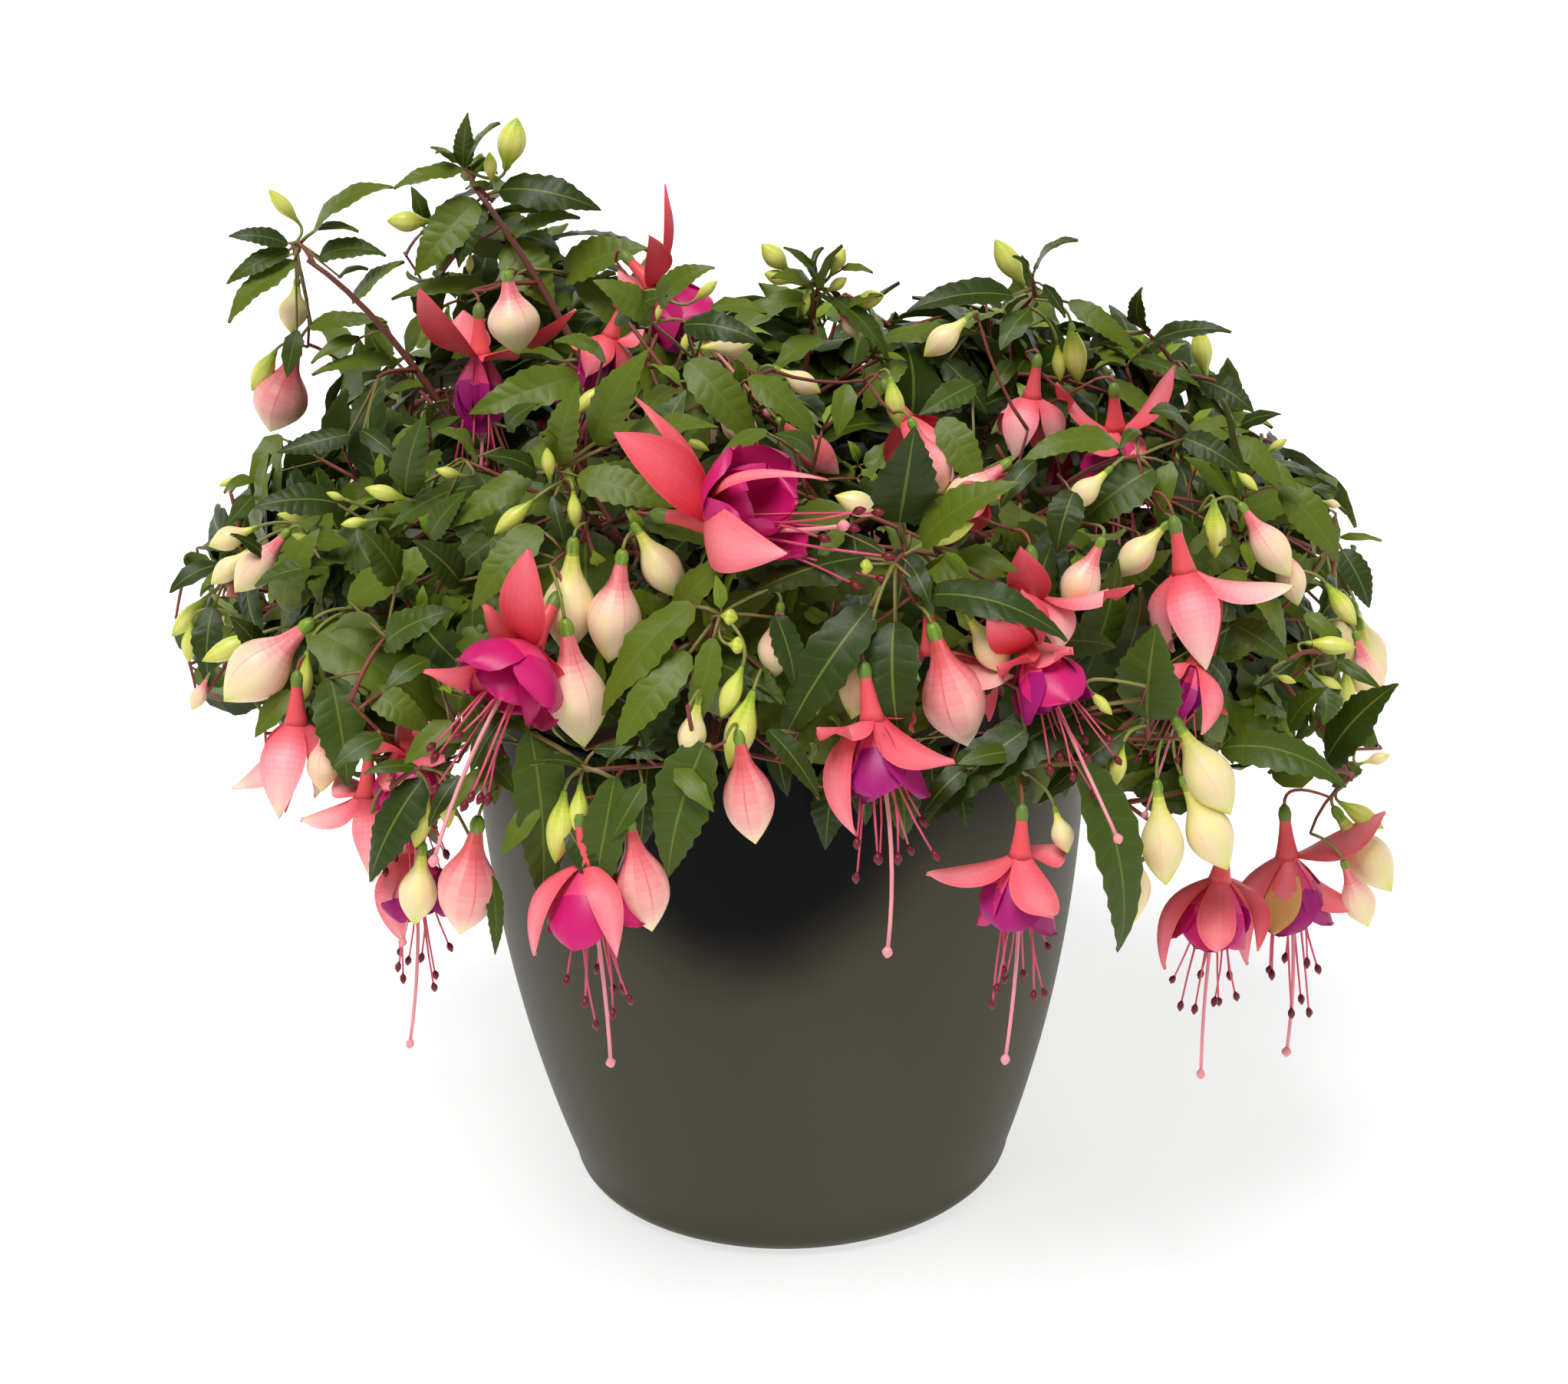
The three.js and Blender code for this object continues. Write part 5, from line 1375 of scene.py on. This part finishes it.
def addPetals(parts, look, random):
    isClosed = look["age"] == "closed"
    rows, columns = flower["petalRows"], flower["petalColumns"]
    breadth, wave = flower["closedPetal" if isClosed else "openPetal"]
    for k in range(8):
        isInner = k >= 4
        spread = flower["spreads"]["closed" if isClosed else "inner" if isInner else "outer"]
        angles = [angle * look["flare"] + swing(random, 10) for angle in spread]
        length = flower["petalLength"] * (0.9 if isInner else 1) * stray(random, 0.08)
        share, path = arcPath(length, angles, rows)
        side = np.array([[0.0, 1.0, 0.0]]) + 0 * path
        width = flower["petalWidth"] * breadth * stray(random, 0.1) * petalOutline(share)
        points = blade(path, side, width, flower["petalDish"], 0.5, columns, wave, 6 * random())
        draw = random()
        main = ("violet" if draw > 0.8 else "purple") if isInner else ("magenta" if draw < 0.75 else "purple")
        main = toneOf("petal_" + (look["petals"] or main))
        tones = np.repeat([toneOf("petal_throat")] * 2 + [main] * (rows - 3), columns - 1)
        degrees = k * 90 + (45 if isInner else 0) + swing(random, 16)
        points = aroundAxis(points, degrees, 2.0, throatHeight - 1)
        if look["cup"] is not None:
            points = tilted(points, look["cup"])
        parts.append((points, bladeFaces(rows, columns), np.tile(tones, 4)))


def aroundAxis(points, degrees, radius, height):
    turn = math.radians(degrees)
    out = points[:, :1] + radius
    x = out * math.cos(turn) - points[:, 1:2] * math.sin(turn)
    y = out * math.sin(turn) + points[:, 1:2] * math.cos(turn)
    return np.concatenate([x, y, points[:, 2:] + height], 1)


# Points turned about the throat until the flower's own axis points along another
def tilted(points, axis):
    throat = up * throatHeight
    return throat + (points - throat) @ np.concatenate(framesOf(axis[None], np.array([0.0])))


def addRod(parts, guides, radii, sides, shade):
    parts.append((tubes(*guides, radii, sides)[0], tubeFaces(len(radii), sides), toneOf(shade)))


def addStamens(parts, look, random):
    base = up * throatHeight
    for k in range(8):
        out = levelWay(math.radians(k * 45 + 20 * random()))
        reach = flower["filament"] * within((0.78, 1.12), random()) - (6 if k % 2 else 0)
        end = base + out * (4 + 9 * random()) + up * reach
        bend = base + out * 5 + np.cross(up, out) * 4 * math.sin(k * 2.4) + up * reach * 0.55
        addRod(parts, (base + out * 1.5, bend, end), np.linspace(0.5, 0.36, 5), 3, "filament_pink")
        way = unit(end - bend)
        anther = (end, end + way * 1.7 + out * 0.3, end + way * 3.6)
        addRod(parts, anther, (0.35, 1.15, 1.15, 0.3), 5, "anther_red")
    sway = np.array([random() - 0.5, random() - 0.5, 0]) * 14
    reach = flower["style"] * look["style"]
    end = base + sway + up * reach * stray(random, 0.1)
    bend = base - sway * 0.6 + up * reach * 0.5
    addRod(parts, (base, bend, end), np.linspace(0.7, 0.6, 10), 5, "style_pink")
    way = unit(end - bend)
    knob = (end - way * 0.4, end + way * 1.3, end + way * 3)
    addRod(parts, knob, (0.6, 1.3, 1.6, 1.3, 0.4), 6, "style_pink")


# One flower in its own frame: the seed pod starts at the origin and the flower faces along +Z
def flowerParts(look, random):
    sides = flower["tubeSides"]
    widths = np.array(flower["tubeWidths"])
    heights = np.array(flower["tubeShares"]) * throatHeight
    bands = np.repeat([toneOf("flower_pod")] * 3 + [toneOf("flower_tube")] * (len(widths) - 4), sides)
    caps = np.repeat([toneOf("flower_pod"), toneOf("petal_throat")], sides - 2)
    profile = turnedPoints(np.stack([widths, heights], 1), sides)[0]
    parts = [(profile, tubeFaces(len(widths), sides), np.concatenate([bands, bands, caps]))]
    for number, tip in enumerate(look["tips"] or sepalTips(look, random)):
        addSepal(parts, tip, number, look, random)
    if look["age"] != "bud":
        addPetals(parts, look, random)
        addStamens(parts, look, random)
    return parts


# Hanging: every bud and flower has a stalk from the best node above it, or else from a shoot of its own
hang = {"longest": 20, "rise": 7, "inward": 9, "bow": 0.15}


def hangItems(plant, items):
    for item in items:
        start = item["from"]
        axis = unit(item["to"] - start)
        node = plant.nearestNode(start, 6, 2.5)
        if np.linalg.norm(start - node) > hang["longest"]:
            inward = unit(crownCentre - start)
            node = start - axis * hang["rise"] + inward * hang["inward"]
            plant.twigTo(node, inward * hang["bow"], "side")
        bend = start - axis * np.linalg.norm(start - node) * 0.5
        shade = "flower_stalk" if item["kind"] == "flower" else "bud_stalk"
        plant.stalks.append((node, bend, start + axis * 0.6, shade))


def placedFlower(look):
    throat = spotSeen(look["throat"], look.get("depth"))
    throat = throat + unit(eyePoint - throat) * look["lift"]
    aim = unit(np.array(look["aim"], float))
    start = throat - aim * throatHeight * look["size"]
    axes = np.concatenate(framesOf(aim[None], np.radians([look["turn"]])))
    tips = [seenAt(sepal[:2], throat[1] - sepal[2]) for sepal in look["sepals"]]
    look["broad"] = [sepal[3] if sepal[3:] else 1 for sepal in look["sepals"]]
    look["tips"] = [axes @ (tip - start) / look["size"] for tip in tips]
    look["sight"] = axes @ unit(eyePoint - throat)
    if look["cup"]:
        look["cup"] = axes @ unit(np.array(look["cup"]))
    return {"kind": "flower", "from": start, "to": start + aim, "front": True, "look": look}


def gatherFront():
    items = []
    for group in frontBuds.values():
        for kind, x, y, tipX, tipY, *plump in group["buds"]:
            start = spotSeen((x, y), group.get("depth"))
            end = seenAt((tipX, tipY), start[1] - 2)
            wide = plump[0] if plump else 1
            items.append({"kind": kind, "from": start, "to": end, "front": True, "plump": wide})
    return items + [placedFlower({**flowerDefaults, **spec}) for spec in frontFlowers]


# At the sides and the back, clusters hang from the ends of twigs by rule
cluster = {
    "front": (-90, 30, 175),  # none before the first Y, nor before the second where X is within the third
    "share": 0.8,
    "flowers": 0.34,
    "buds": (2, 5),
    "out": (6, 18),
    "drop": (12, 30),
    "kinds": ("lime", "cream", "blush", "pink", "lime"),
    "lengths": {"lime": 17, "cream": 30, "blush": 33, "pink": 36},
}


def gatherRound(plant, random):
    items = []

    def below(tip, away):
        return tip + away * within(cluster["out"], random())

    nearest, near, half = cluster["front"]
    for _, _, tip, limbKind in plant.limbs:
        isFront = tip[1] < nearest or tip[1] < near and abs(tip[0]) < half
        if isFront or limbKind != "twig" or random() > cluster["share"]:
            continue
        away = unit((tip - crownCentre) * [1, 1, 0.15])
        if random() < cluster["flowers"]:
            start = below(tip, away) - up * within(cluster["drop"], random())
            aim = unit(np.array([away[0] * 0.3, away[1] * 0.3, -1]) + swing(random, 0.3))
            openings = tuple(50 + 70 * random() for k in range(4))
            look = {**flowerDefaults, "openings": openings, "turn": 360 * random()}
            made = {"kind": "flower", "from": start, "to": start + aim, "look": look, "front": False}
            if hasRoom(start + away * 25) and hasRoom(start + aim * 70, 8):
                items.append(made)
            continue
        for k in range(int(within(cluster["buds"], random()))):
            kind = cluster["kinds"][int(random() * 4.99)]
            length = cluster["lengths"][kind] * stray(random, 0.15)
            spread = sideOf(away) * swing(random, 26)
            start = below(tip, away) + spread - up * within(cluster["drop"], random())
            aim = unit(away * 0.35 * random() + spread * 0.01 - up)
            if hasRoom(start) and hasRoom(start + aim * length):
                items.append({"kind": kind, "from": start, "to": start + aim * length, "front": False})
    return items


# Where the crown would be open to the eye or from above, one more twig grows there from the nearest node,
# but not where the photograph shows the sky through it: at a pixel, as far as a radius
skyGaps = [
    (707, 274, 48), (275, 681, 34), (581, 246, 32), (1619, 518, 32), (633, 299, 28), (1432, 395, 26),
    (536, 414, 60), (1146, 377, 25), (1583, 954, 24), (1043, 454, 24), (1412, 424, 22), (1528, 445, 22),
    (1295, 370, 22), (1025, 416, 20), (322, 936, 24), (1777, 874, 20), (1433, 881, 20), (1418, 627, 18),
    (1281, 419, 18), (242, 850, 18), (562, 333, 30), (364, 606, 22), (1745, 909, 18), (571, 580, 18),
    (1730, 749, 18), (780, 330, 60),
]
closing = {
    "window": ((230, 300), (1800, 985)),
    "pixels": 9,
    "apart": 34,
    "deep": (10, 80),
    "cell": 8,
    "topApart": 21,
    "topReach": 168,
    "topHeight": (262, 296),
    "topFrom": 235,
    "topFall": 0.0022,
}


def leafSamples(leaves):
    root, along, front = (column(leaves, name)[:, None] for name in ("root", "along", "front"))
    length = column(leaves, "length")[:, None, None]
    width = column(leaves, "width", leaf["width"])[:, None, None]
    grids = np.meshgrid(np.linspace(0.1, 0.9, 9), np.linspace(-0.8, 0.8, 5))
    share, across = (grid.reshape(1, -1, 1) for grid in grids)
    aside = unit(np.cross(front, along)) * across * length * width / 2 * np.sin(np.pi * share)
    return (root + along * length * share + aside - up * length * 0.15 * share**2).reshape(-1, 3)


def openCells(seen, cell, low, high):
    taken = set(map(tuple, np.floor(seen / cell).astype(int).tolist()))
    first, last = (np.floor(np.array(corner) / cell).astype(int) for corner in (low, high))
    cells = [(x, y) for x in range(first[0], last[0]) for y in range(first[1], last[1])]
    return [((x + 0.5) * cell, (y + 0.5) * cell) for x, y in cells if (x, y) not in taken]


def growClosing(plant, spot, random):
    mass = massAt(spot)
    twig = plant.twigTo(spot, up * 0.1, "side", 5)
    plant.addTip(twig, mass, 1.1, random, ("deep", "mid"))
    for hand in (-1, 1):
        plant.addLeaf(twig.at(0.85), twig.heading(0.85), hand, 0, 0.85, mass, "deep", random)


def closeGaps(plant, items, random):
    samples = leafSamples(keptLeaves(plant.leaves, items))
    grown = []

    def isNew(spot, apart):
        return all(math.dist(spot, other) > apart for other in grown)

    for pixel in openCells(pixelsOf(samples), closing["pixels"], *closing["window"]):
        spot = seenAt(pixel, within(closing["deep"], random()))
        isSky = any(math.dist(pixel, (x, y)) < radius for x, y, radius in skyGaps)
        if not isSky and isNew(pixel, closing["apart"]) and hasRoom(spot):
            growClosing(plant, spot, random)
            grown.append(pixel)
    count = len(grown)
    grown.clear()
    reach = closing["topReach"]
    high = samples[samples[:, 2] > closing["topFrom"]]
    for x, y in openCells(high[:, :2], closing["cell"], (-reach, -reach), (reach, reach)):
        height = within(closing["topHeight"], random()) - closing["topFall"] * (x * x + y * y)
        spot = np.array([x, y, height])
        if math.hypot(x, y) < reach and isNew((x, y), closing["topApart"]) and hasRoom(spot):
            growClosing(plant, spot, random)
            grown.append((x, y))
    print(f"stage: {count} gaps closed in front, {len(grown)} from above")


def inOwnSpace(samples, mass):  # on its own side of the walls between its mass and the others
    rooms = np.array([shoot["room"] for shoot in shoots], float)
    kept = np.ones(len(samples), bool)
    for j in range(len(shoots)):
        between = centres[j] - centres[mass]
        apart = np.linalg.norm(between, axis=1)
        safe = np.where(apart > 0, apart, 1)
        reach = np.sum((samples - centres[mass][:, None]) * between[:, None], axis=2) / safe[:, None]
        wall = (apart + rooms[mass] - rooms[j]) / 2 + growth["ownSpace"]
        kept &= (mass == j) | np.all(reach < wall[:, None], axis=1)
    return kept


def offPot(samples):
    radius = np.linalg.norm(samples[:, :, :2], axis=2)
    height = samples[:, :, 2]
    isNear = radius < wallRadius(np.clip(height, 0, pot["height"])) + clear["pot"]
    return ~np.any((height < pot["height"] + clear["rim"]) & isNear, axis=1)


def inFrontOf(samples, spot, sight, room, nearest, farthest):
    offset = samples - spot
    ahead = offset @ sight
    aside = np.linalg.norm(offset - ahead[:, :, None] * sight, axis=2)
    return np.any((ahead > nearest) & (ahead < farthest) & (aside < room), axis=1)


# How far from a line of sight a leaf has to be, and from where to where along it, for each thing that it
# would hide
clear = {
    "leaf": (6.5, -5, 70),
    "leafSpots": (0.25, 0.55, 0.85),
    "flowerRoom": 13,
    "flowerSpots": (16, 30, 42),
    "budRoom": (4, 0.24),  # at least, and as a share of the bud's length
    "budSpots": (0.45, 0.8),
    "front": (-3, 90),
    "round": (-3, 50),
    "roundRoom": 0.8,
    "pot": 2.5,
    "rim": 3,
}


# A leaf stays only where it is in its mass's own space, off the pot, and not in front of a placed leaf, a bud
# or a flower: as the eye sees it, or for those that the rule has made, as it is seen from outside the crown
def keptLeaves(leaves, items):
    root, along, front, mass = (column(leaves, name) for name in ("root", "along", "front", "mass"))
    length = column(leaves, "length")[:, None]
    side = unit(np.cross(front, along)) * length * leaf["width"] / 2
    fall = up * length * -0.3
    middle = root + along * length * 0.45
    outer = root + along * length * 0.8 + fall * 0.6
    tip = root + along * length * 0.92 + fall
    samples = np.stack([middle, middle + side, middle - side, outer, tip, root + along * length * 0.2], 1)
    kept = inOwnSpace(samples, mass) & offPot(samples) & np.all(hasRoom(samples), axis=1)
    for one in [one for one in leaves if "bend" in one]:
        for share in clear["leafSpots"]:
            spot = one["root"] + one["along"] * one["length"] * share
            kept &= ~inFrontOf(samples, spot, unit(eyePoint - spot), *clear["leaf"])
    for item in items:
        isFlower = item["kind"] == "flower"
        axis = item["to"] - item["from"]
        size = np.linalg.norm(axis)
        least, share = clear["budRoom"]
        room = clear["flowerRoom"] if isFlower else max(least, size * share)
        for far in clear["flowerSpots"] if isFlower else [size * part for part in clear["budSpots"]]:
            spot = item["from"] + unit(axis) * far
            if item["front"]:
                kept &= ~inFrontOf(samples, spot, unit(eyePoint - spot), room, *clear["front"])
            else:
                away = unit((spot - crownCentre) * [1, 1, 0.25])
                kept &= ~inFrontOf(samples, spot, away, room * clear["roundRoom"], *clear["round"])
    return [one for one, isKept in zip(leaves, kept) if isKept or "bend" in one]


# All leaves at once, as blades with toothed edges, a fold, impressed veins and a bend
def leafRows(veins, isFine):  # rows of points along a leaf, and whether each lies on a vein
    if not isFine:
        rows = 2 * veins + 1
        return np.linspace(0.015, 0.985, rows), np.arange(rows) % 2 == 1
    share, isVein = [0.015], [False]
    for k in range(veins):
        middle = (k + 0.7) / (veins + 0.4)
        share += [middle - 0.005, middle + 0.005, middle + 0.5 / (veins + 0.4)]
        isVein += [True, True, False]
    share[-1] = 0.985
    return np.array(share), np.array(isVein)


def leafTones(leaves, isVein, strips, isFine):  # by leaf, then by row and strip, twice as gridFaces has it
    shades = list(leafShades)
    plain = np.array([shades.index("leaf_" + one["tone"]) for one in leaves])[:, None]
    vein = np.array([shades.index("leaf_" + veinOf[one["tone"]]) for one in leaves])[:, None]
    strip = np.arange(strips)
    # On fine leaves the veins and the two edge strips take the paler vein green; along the edges it is a
    # painted highlight of light caught by the margin
    isLine = isFine & (isVein[:-1] & isVein[1:] | (strip == 0) | (strip == strips - 1))
    isRib = strip == strips // 2
    marks = (np.broadcast_to(mark, (len(isVein) - 1, strips)) for mark in (isRib, isLine))
    isRib, isLine = (np.tile(mark.ravel(), 2)[None] for mark in marks)
    return np.where(isRib, shades.index("leaf_rib"), np.where(isLine, vein, plain))


def leafBlades(bundle, leaves, veins, random, isFine=False):
    if not leaves:
        return

    def drawn(limits):
        return np.array([within(limits, random()) for one in leaves])[:, None, None]

    root = column(leaves, "root")[:, None, None]
    along, front = column(leaves, "along"), column(leaves, "front")
    side = unit(np.cross(front, along))
    frames = [vectors[:, None, None] for vectors in (along, side, np.cross(along, side))]
    lift, bend, fold, curl = (drawn(leaf[name]) for name in ("lift", "bend", "fold", "curl"))
    wave, twist, sway = (drawn(leaf[name]) for name in ("wave", "twist", "sway"))
    phase = drawn((0, 6.28))
    length, ownBend = (column(leaves, name, 0)[:, None, None] for name in ("length", "bend"))
    width = column(leaves, "width", leaf["width"])[:, None, None]
    isPlaced = ownBend > 0
    bend = np.where(isPlaced, ownBend, bend)
    lift = np.where(isPlaced, bend / 2, lift)
    twist = np.where(isPlaced, twist * 0.4, twist)
    share, isVein = (values[:, None] for values in leafRows(veins, isFine))

    def sheet(columns, isTop):
        v = np.array(columns, float)[None, :]
        edge = np.abs(v)
        s = np.clip(share + leaf["veinLean"] * edge * np.sin(np.pi * share), 0.01, 0.99)[None]
        half = length * width / 2 * s**0.62 * (1 - s) ** 1.08 / 0.3196
        tooth = np.where(isVein, 1.0, -1.0) * leaf["tooth"] * (edge > 0.9)
        across = v * half * (1 + tooth) + sway * length * s**2
        quilt = np.where(isVein, -1.0, 1.0) * leaf["quilt"] * np.minimum(1, half / 6)
        quilt = quilt * np.clip(1 - np.abs(edge - 0.55) / 0.5, 0, 1) * np.sin(np.pi * share)
        ripple = wave * half * edge**2 * np.sin(s * 14 + phase + v)
        height = fold * edge * half - curl * edge**2 * half + quilt + ripple
        if not isTop:
            height = height - leaf["thickness"] * (1 - edge)
        angle = lift - bend * s
        y = across * np.cos(twist * s) - height * np.sin(twist * s)
        rise = across * np.sin(twist * s) + height * np.cos(twist * s)
        x = length * (np.sin(lift) - np.sin(angle)) / bend - rise * np.sin(angle)
        z = length * (np.cos(angle) - np.cos(lift)) / bend + rise * np.cos(angle)
        points = root + sum(frame * step[..., None] for frame, step in zip(frames, (x, y, z)))
        return points.reshape(len(leaves), -1, 3)

    columns, under = leaf["fineColumns" if isFine else "columns"], leaf["underColumns"]
    rows = len(share)
    tones = leafTones(leaves, isVein, len(columns) - 1, isFine)
    bundle.add(sheet(columns, True), gridFaces(rows, len(columns)), tones)
    below = gridFaces(rows, len(under))[:, ::-1]
    bundle.add(sheet(under, False), below, list(leafShades).index("leaf_under"))


def makeLeaves(plant, items):
    random = seeded(4242)
    leaves = keptLeaves(plant.leaves, items)
    print(f"stage: {len(leaves)} leaves kept of {len(plant.leaves)}")
    finishes = livingFinishes(leafShades, 0.44, 700, 0.25, gloss=0.26)
    for number, first in enumerate(range(0, len(shoots), 4)):
        bundle = Bundle()
        own = [one for one in leaves if first <= one["mass"] < first + 4]
        fine, plain, young = [], [], []
        for one in own:
            isFine = "bend" in one or one["root"][1] < leaf["fineBefore"]
            (young if one["length"] < leaf["youngBelow"] else fine if isFine else plain).append(one)
        leafBlades(bundle, fine, leaf["fineVeins"], random, True)
        leafBlades(bundle, plain, leaf["veins"], random)
        leafBlades(bundle, young, leaf["youngVeins"], random)
        stands = [f"foliage_{shoot['name']}" for shoot in shoots[first:first + 4]]
        bundle.piece(f"leaves_{number + 1}", finishes, stands)
    return leaves


# A twig that has lost the leaves of its outer half, and carries nothing else, isn't made
def dropBare(plant, leaves):
    starts = [limb[0] for limb in plant.limbs + plant.stalks]
    carried = np.array([one["node"] for one in leaves] + starts)
    limbs = []
    for limb in plant.limbs:
        curve = Arch(*limb[:3])
        outer = np.array([curve.at(share) for share in growth["bareNodes"]])
        nearest = np.linalg.norm(outer[:, None] - carried[None], axis=2).min()
        if limb[3] == "stem" or nearest < growth["bareWithin"]:
            limbs.append(limb)
    print(f"stage: {len(plant.limbs) - len(limbs)} bare twigs left out")
    plant.limbs = limbs


# Stems, twigs and stalks: each kind's colour, how many rings and sides it has and its radii from foot to end
twigShades = {
    "stem_brown": tint(100, 48, 38),
    "twig_red": tint(122, 60, 48),
    "leaf_stalk": tint(128, 112, 62),
    "bud_stalk": tint(128, 128, 62),
    "flower_stalk": tint(136, 74, 54),
}
limbKinds = {
    "stem": ("stem_brown", 9, 8, (1.5, 0.9)),
    "twig": ("twig_red", 7, 6, (1.0, 0.65)),
    "side": ("twig_red", 5, 5, (0.7, 0.5)),
    "bud_stalk": ("bud_stalk", 9, 6, (0.55, 0.6)),
    "flower_stalk": ("flower_stalk", 9, 6, (0.55, 0.6)),
}


def makeTwigs(plant, leaves):
    bundle = Bundle()
    tones = list(twigShades)

    def addLimbs(kind):
        shade, rings, sides, radii = limbKinds[kind]
        own = [limb for limb in plant.limbs + plant.stalks if limb[3] == kind]
        guides = [np.array([limb[i] for limb in own]) for i in range(3)]
        points = tubes(*guides, np.linspace(*radii, rings), sides)
        bundle.add(points, tubeFaces(rings, sides), tones.index(shade))

    for kind in ("stem", "twig", "side"):
        addLimbs(kind)
    node, root, along = (column(leaves, name) for name in ("node", "root", "along"))
    thin = (0.28 + 0.012 * column(leaves, "length"))[:, None] * np.array([[1.1, 1, 0.9]])
    points = tubes(node, (node + root) / 2 + up * 0.6, root + along * 1.2, thin, 3)
    bundle.add(points, tubeFaces(3, 3), tones.index("leaf_stalk"))
    for kind in ("bud_stalk", "flower_stalk"):
        addLimbs(kind)
    bundle.piece("twigs_and_stalks", livingFinishes(twigShades, 0.5, 900, 0.2))


def makeBuds(items):
    bundle = Bundle()
    addBuds(bundle, [item for item in items if item["kind"] != "flower"], seeded(77))
    shades = {f"bud_{step}": colour for step, colour in enumerate(pathColours(budPath, budSteps))}
    bundle.piece("buds", livingFinishes(shades, 0.38, 500, 0.12, through=0.1))


def makeFlowers(items):
    bundle = Bundle()
    random = seeded(1999)
    for item in items:
        if item["kind"] != "flower":
            continue
        look = item["look"]
        axis = (item["to"] - item["from"])[None]
        axes = np.concatenate(framesOf(axis, np.radians([look["turn"]])))
        for points, faces, tones in flowerParts(look, random):
            points = item["from"] + points * look["size"] @ axes
            bundle.add(points, faces, np.broadcast_to(tones, (1, len(faces))))
    shades = {f"sepal_{step}": colour for step, colour in enumerate(pathColours(sepalPath, sepalSteps))}
    finishes = livingFinishes({**flowerShades, **shades}, 0.44, 600, 0.15, through=0.1)
    bundle.piece("blossom", finishes)


# Stage: a pale floor that sweeps up behind, soft light from all round, and the camera
studio = {
    "floor": (0.5, 0.5, 0.5, 1),
    "glow": 0.68,
    "reach": 16000,
    "back": 4600,
    "round": 900,
    "top": 4200,
    "white": (1, 1, 1, 1),
    "world": 0.24,
    "key": {"from": (-0.4, -0.75, 1.9), "strength": 3.0, "softness": 32},
    "fill": {"from": (1.5, -0.6, 1.0), "strength": 0.35, "softness": 70},
}


def makeStage():
    radius, back, reach = studio["round"], studio["back"], studio["reach"]
    profile = [(-reach, 0)]
    for turn in np.linspace(0, math.pi / 2, 13):
        profile.append((back + radius * math.sin(turn), radius - radius * math.cos(turn)))
    profile.append((back + radius, studio["top"]))
    corners = [(x * mm, y * mm, z * mm) for y, z in profile for x in (-reach, reach)]
    mesh = bpy.data.meshes.new("backdrop")
    mesh.from_pydata(corners, [], gridFaces(len(profile), 2).tolist())
    mesh.polygons.foreach_set("use_smooth", [True] * len(mesh.polygons))
    finish = Finish("backdrop_white", Base_Color=studio["floor"], Roughness=0.9, Specular_IOR_Level=0.0)
    finish.set(Emission_Color=studio["white"], Emission_Strength=studio["glow"])
    mesh.materials.append(finish.material)
    sweep = addObject("backdrop", mesh)


def makeLight(name, lamp):
    light = bpy.data.lights.new(name, "SUN")
    light.energy = lamp["strength"]
    light.angle = math.radians(lamp["softness"])
    made = addObject(name, light)
    made.location = Vector(lamp["from"])
    made.rotation_euler = (-made.location).to_track_quat("-Z", "Y").to_euler()


def makeLights():
    bpy.context.scene.view_settings.view_transform = "Standard"  # vivid colours stay vivid
    makeLight("key_light", studio["key"])
    makeLight("fill_light", studio["fill"])
    world = bpy.data.worlds.new("soft_white")
    bpy.context.scene.world = world
    world.use_nodes = True
    background = world.node_tree.nodes["Background"].inputs
    background["Color"].default_value = studio["white"]
    background["Strength"].default_value = studio["world"]


def makeCamera():
    eye, turn = cameraMatrix()
    camera = bpy.data.cameras.new("camera")
    camera.lens = view["lens"]
    camera.sensor_width = view["sensor"]
    camera.clip_start = 0.01
    made = addObject("camera", camera)
    made.matrix_world = Matrix.Translation(eye * mm) @ turn.to_4x4()
    bpy.context.scene.camera = made


makeCamera()
makePot()
makeSoil(soilFinish())
limbs = growBoughs()
makeWood(limbs, woodFinish())
plant = Plant()
for index, shoot in enumerate(shoots):
    growTwigs(plant, shoot, index, limbs)
print(f"stage: {len(plant.limbs)} stems and twigs grown")
growFront(plant, seeded(31))
items = gatherFront() + gatherRound(plant, seeded(23))
hangItems(plant, items)
closeGaps(plant, items, seeded(61))
leaves = makeLeaves(plant, items)
dropBare(plant, leaves)
makeTwigs(plant, leaves)
makeBuds(items)
makeFlowers(items)
makeStage()
makeLights()
print("stage: floor, lights and camera set")
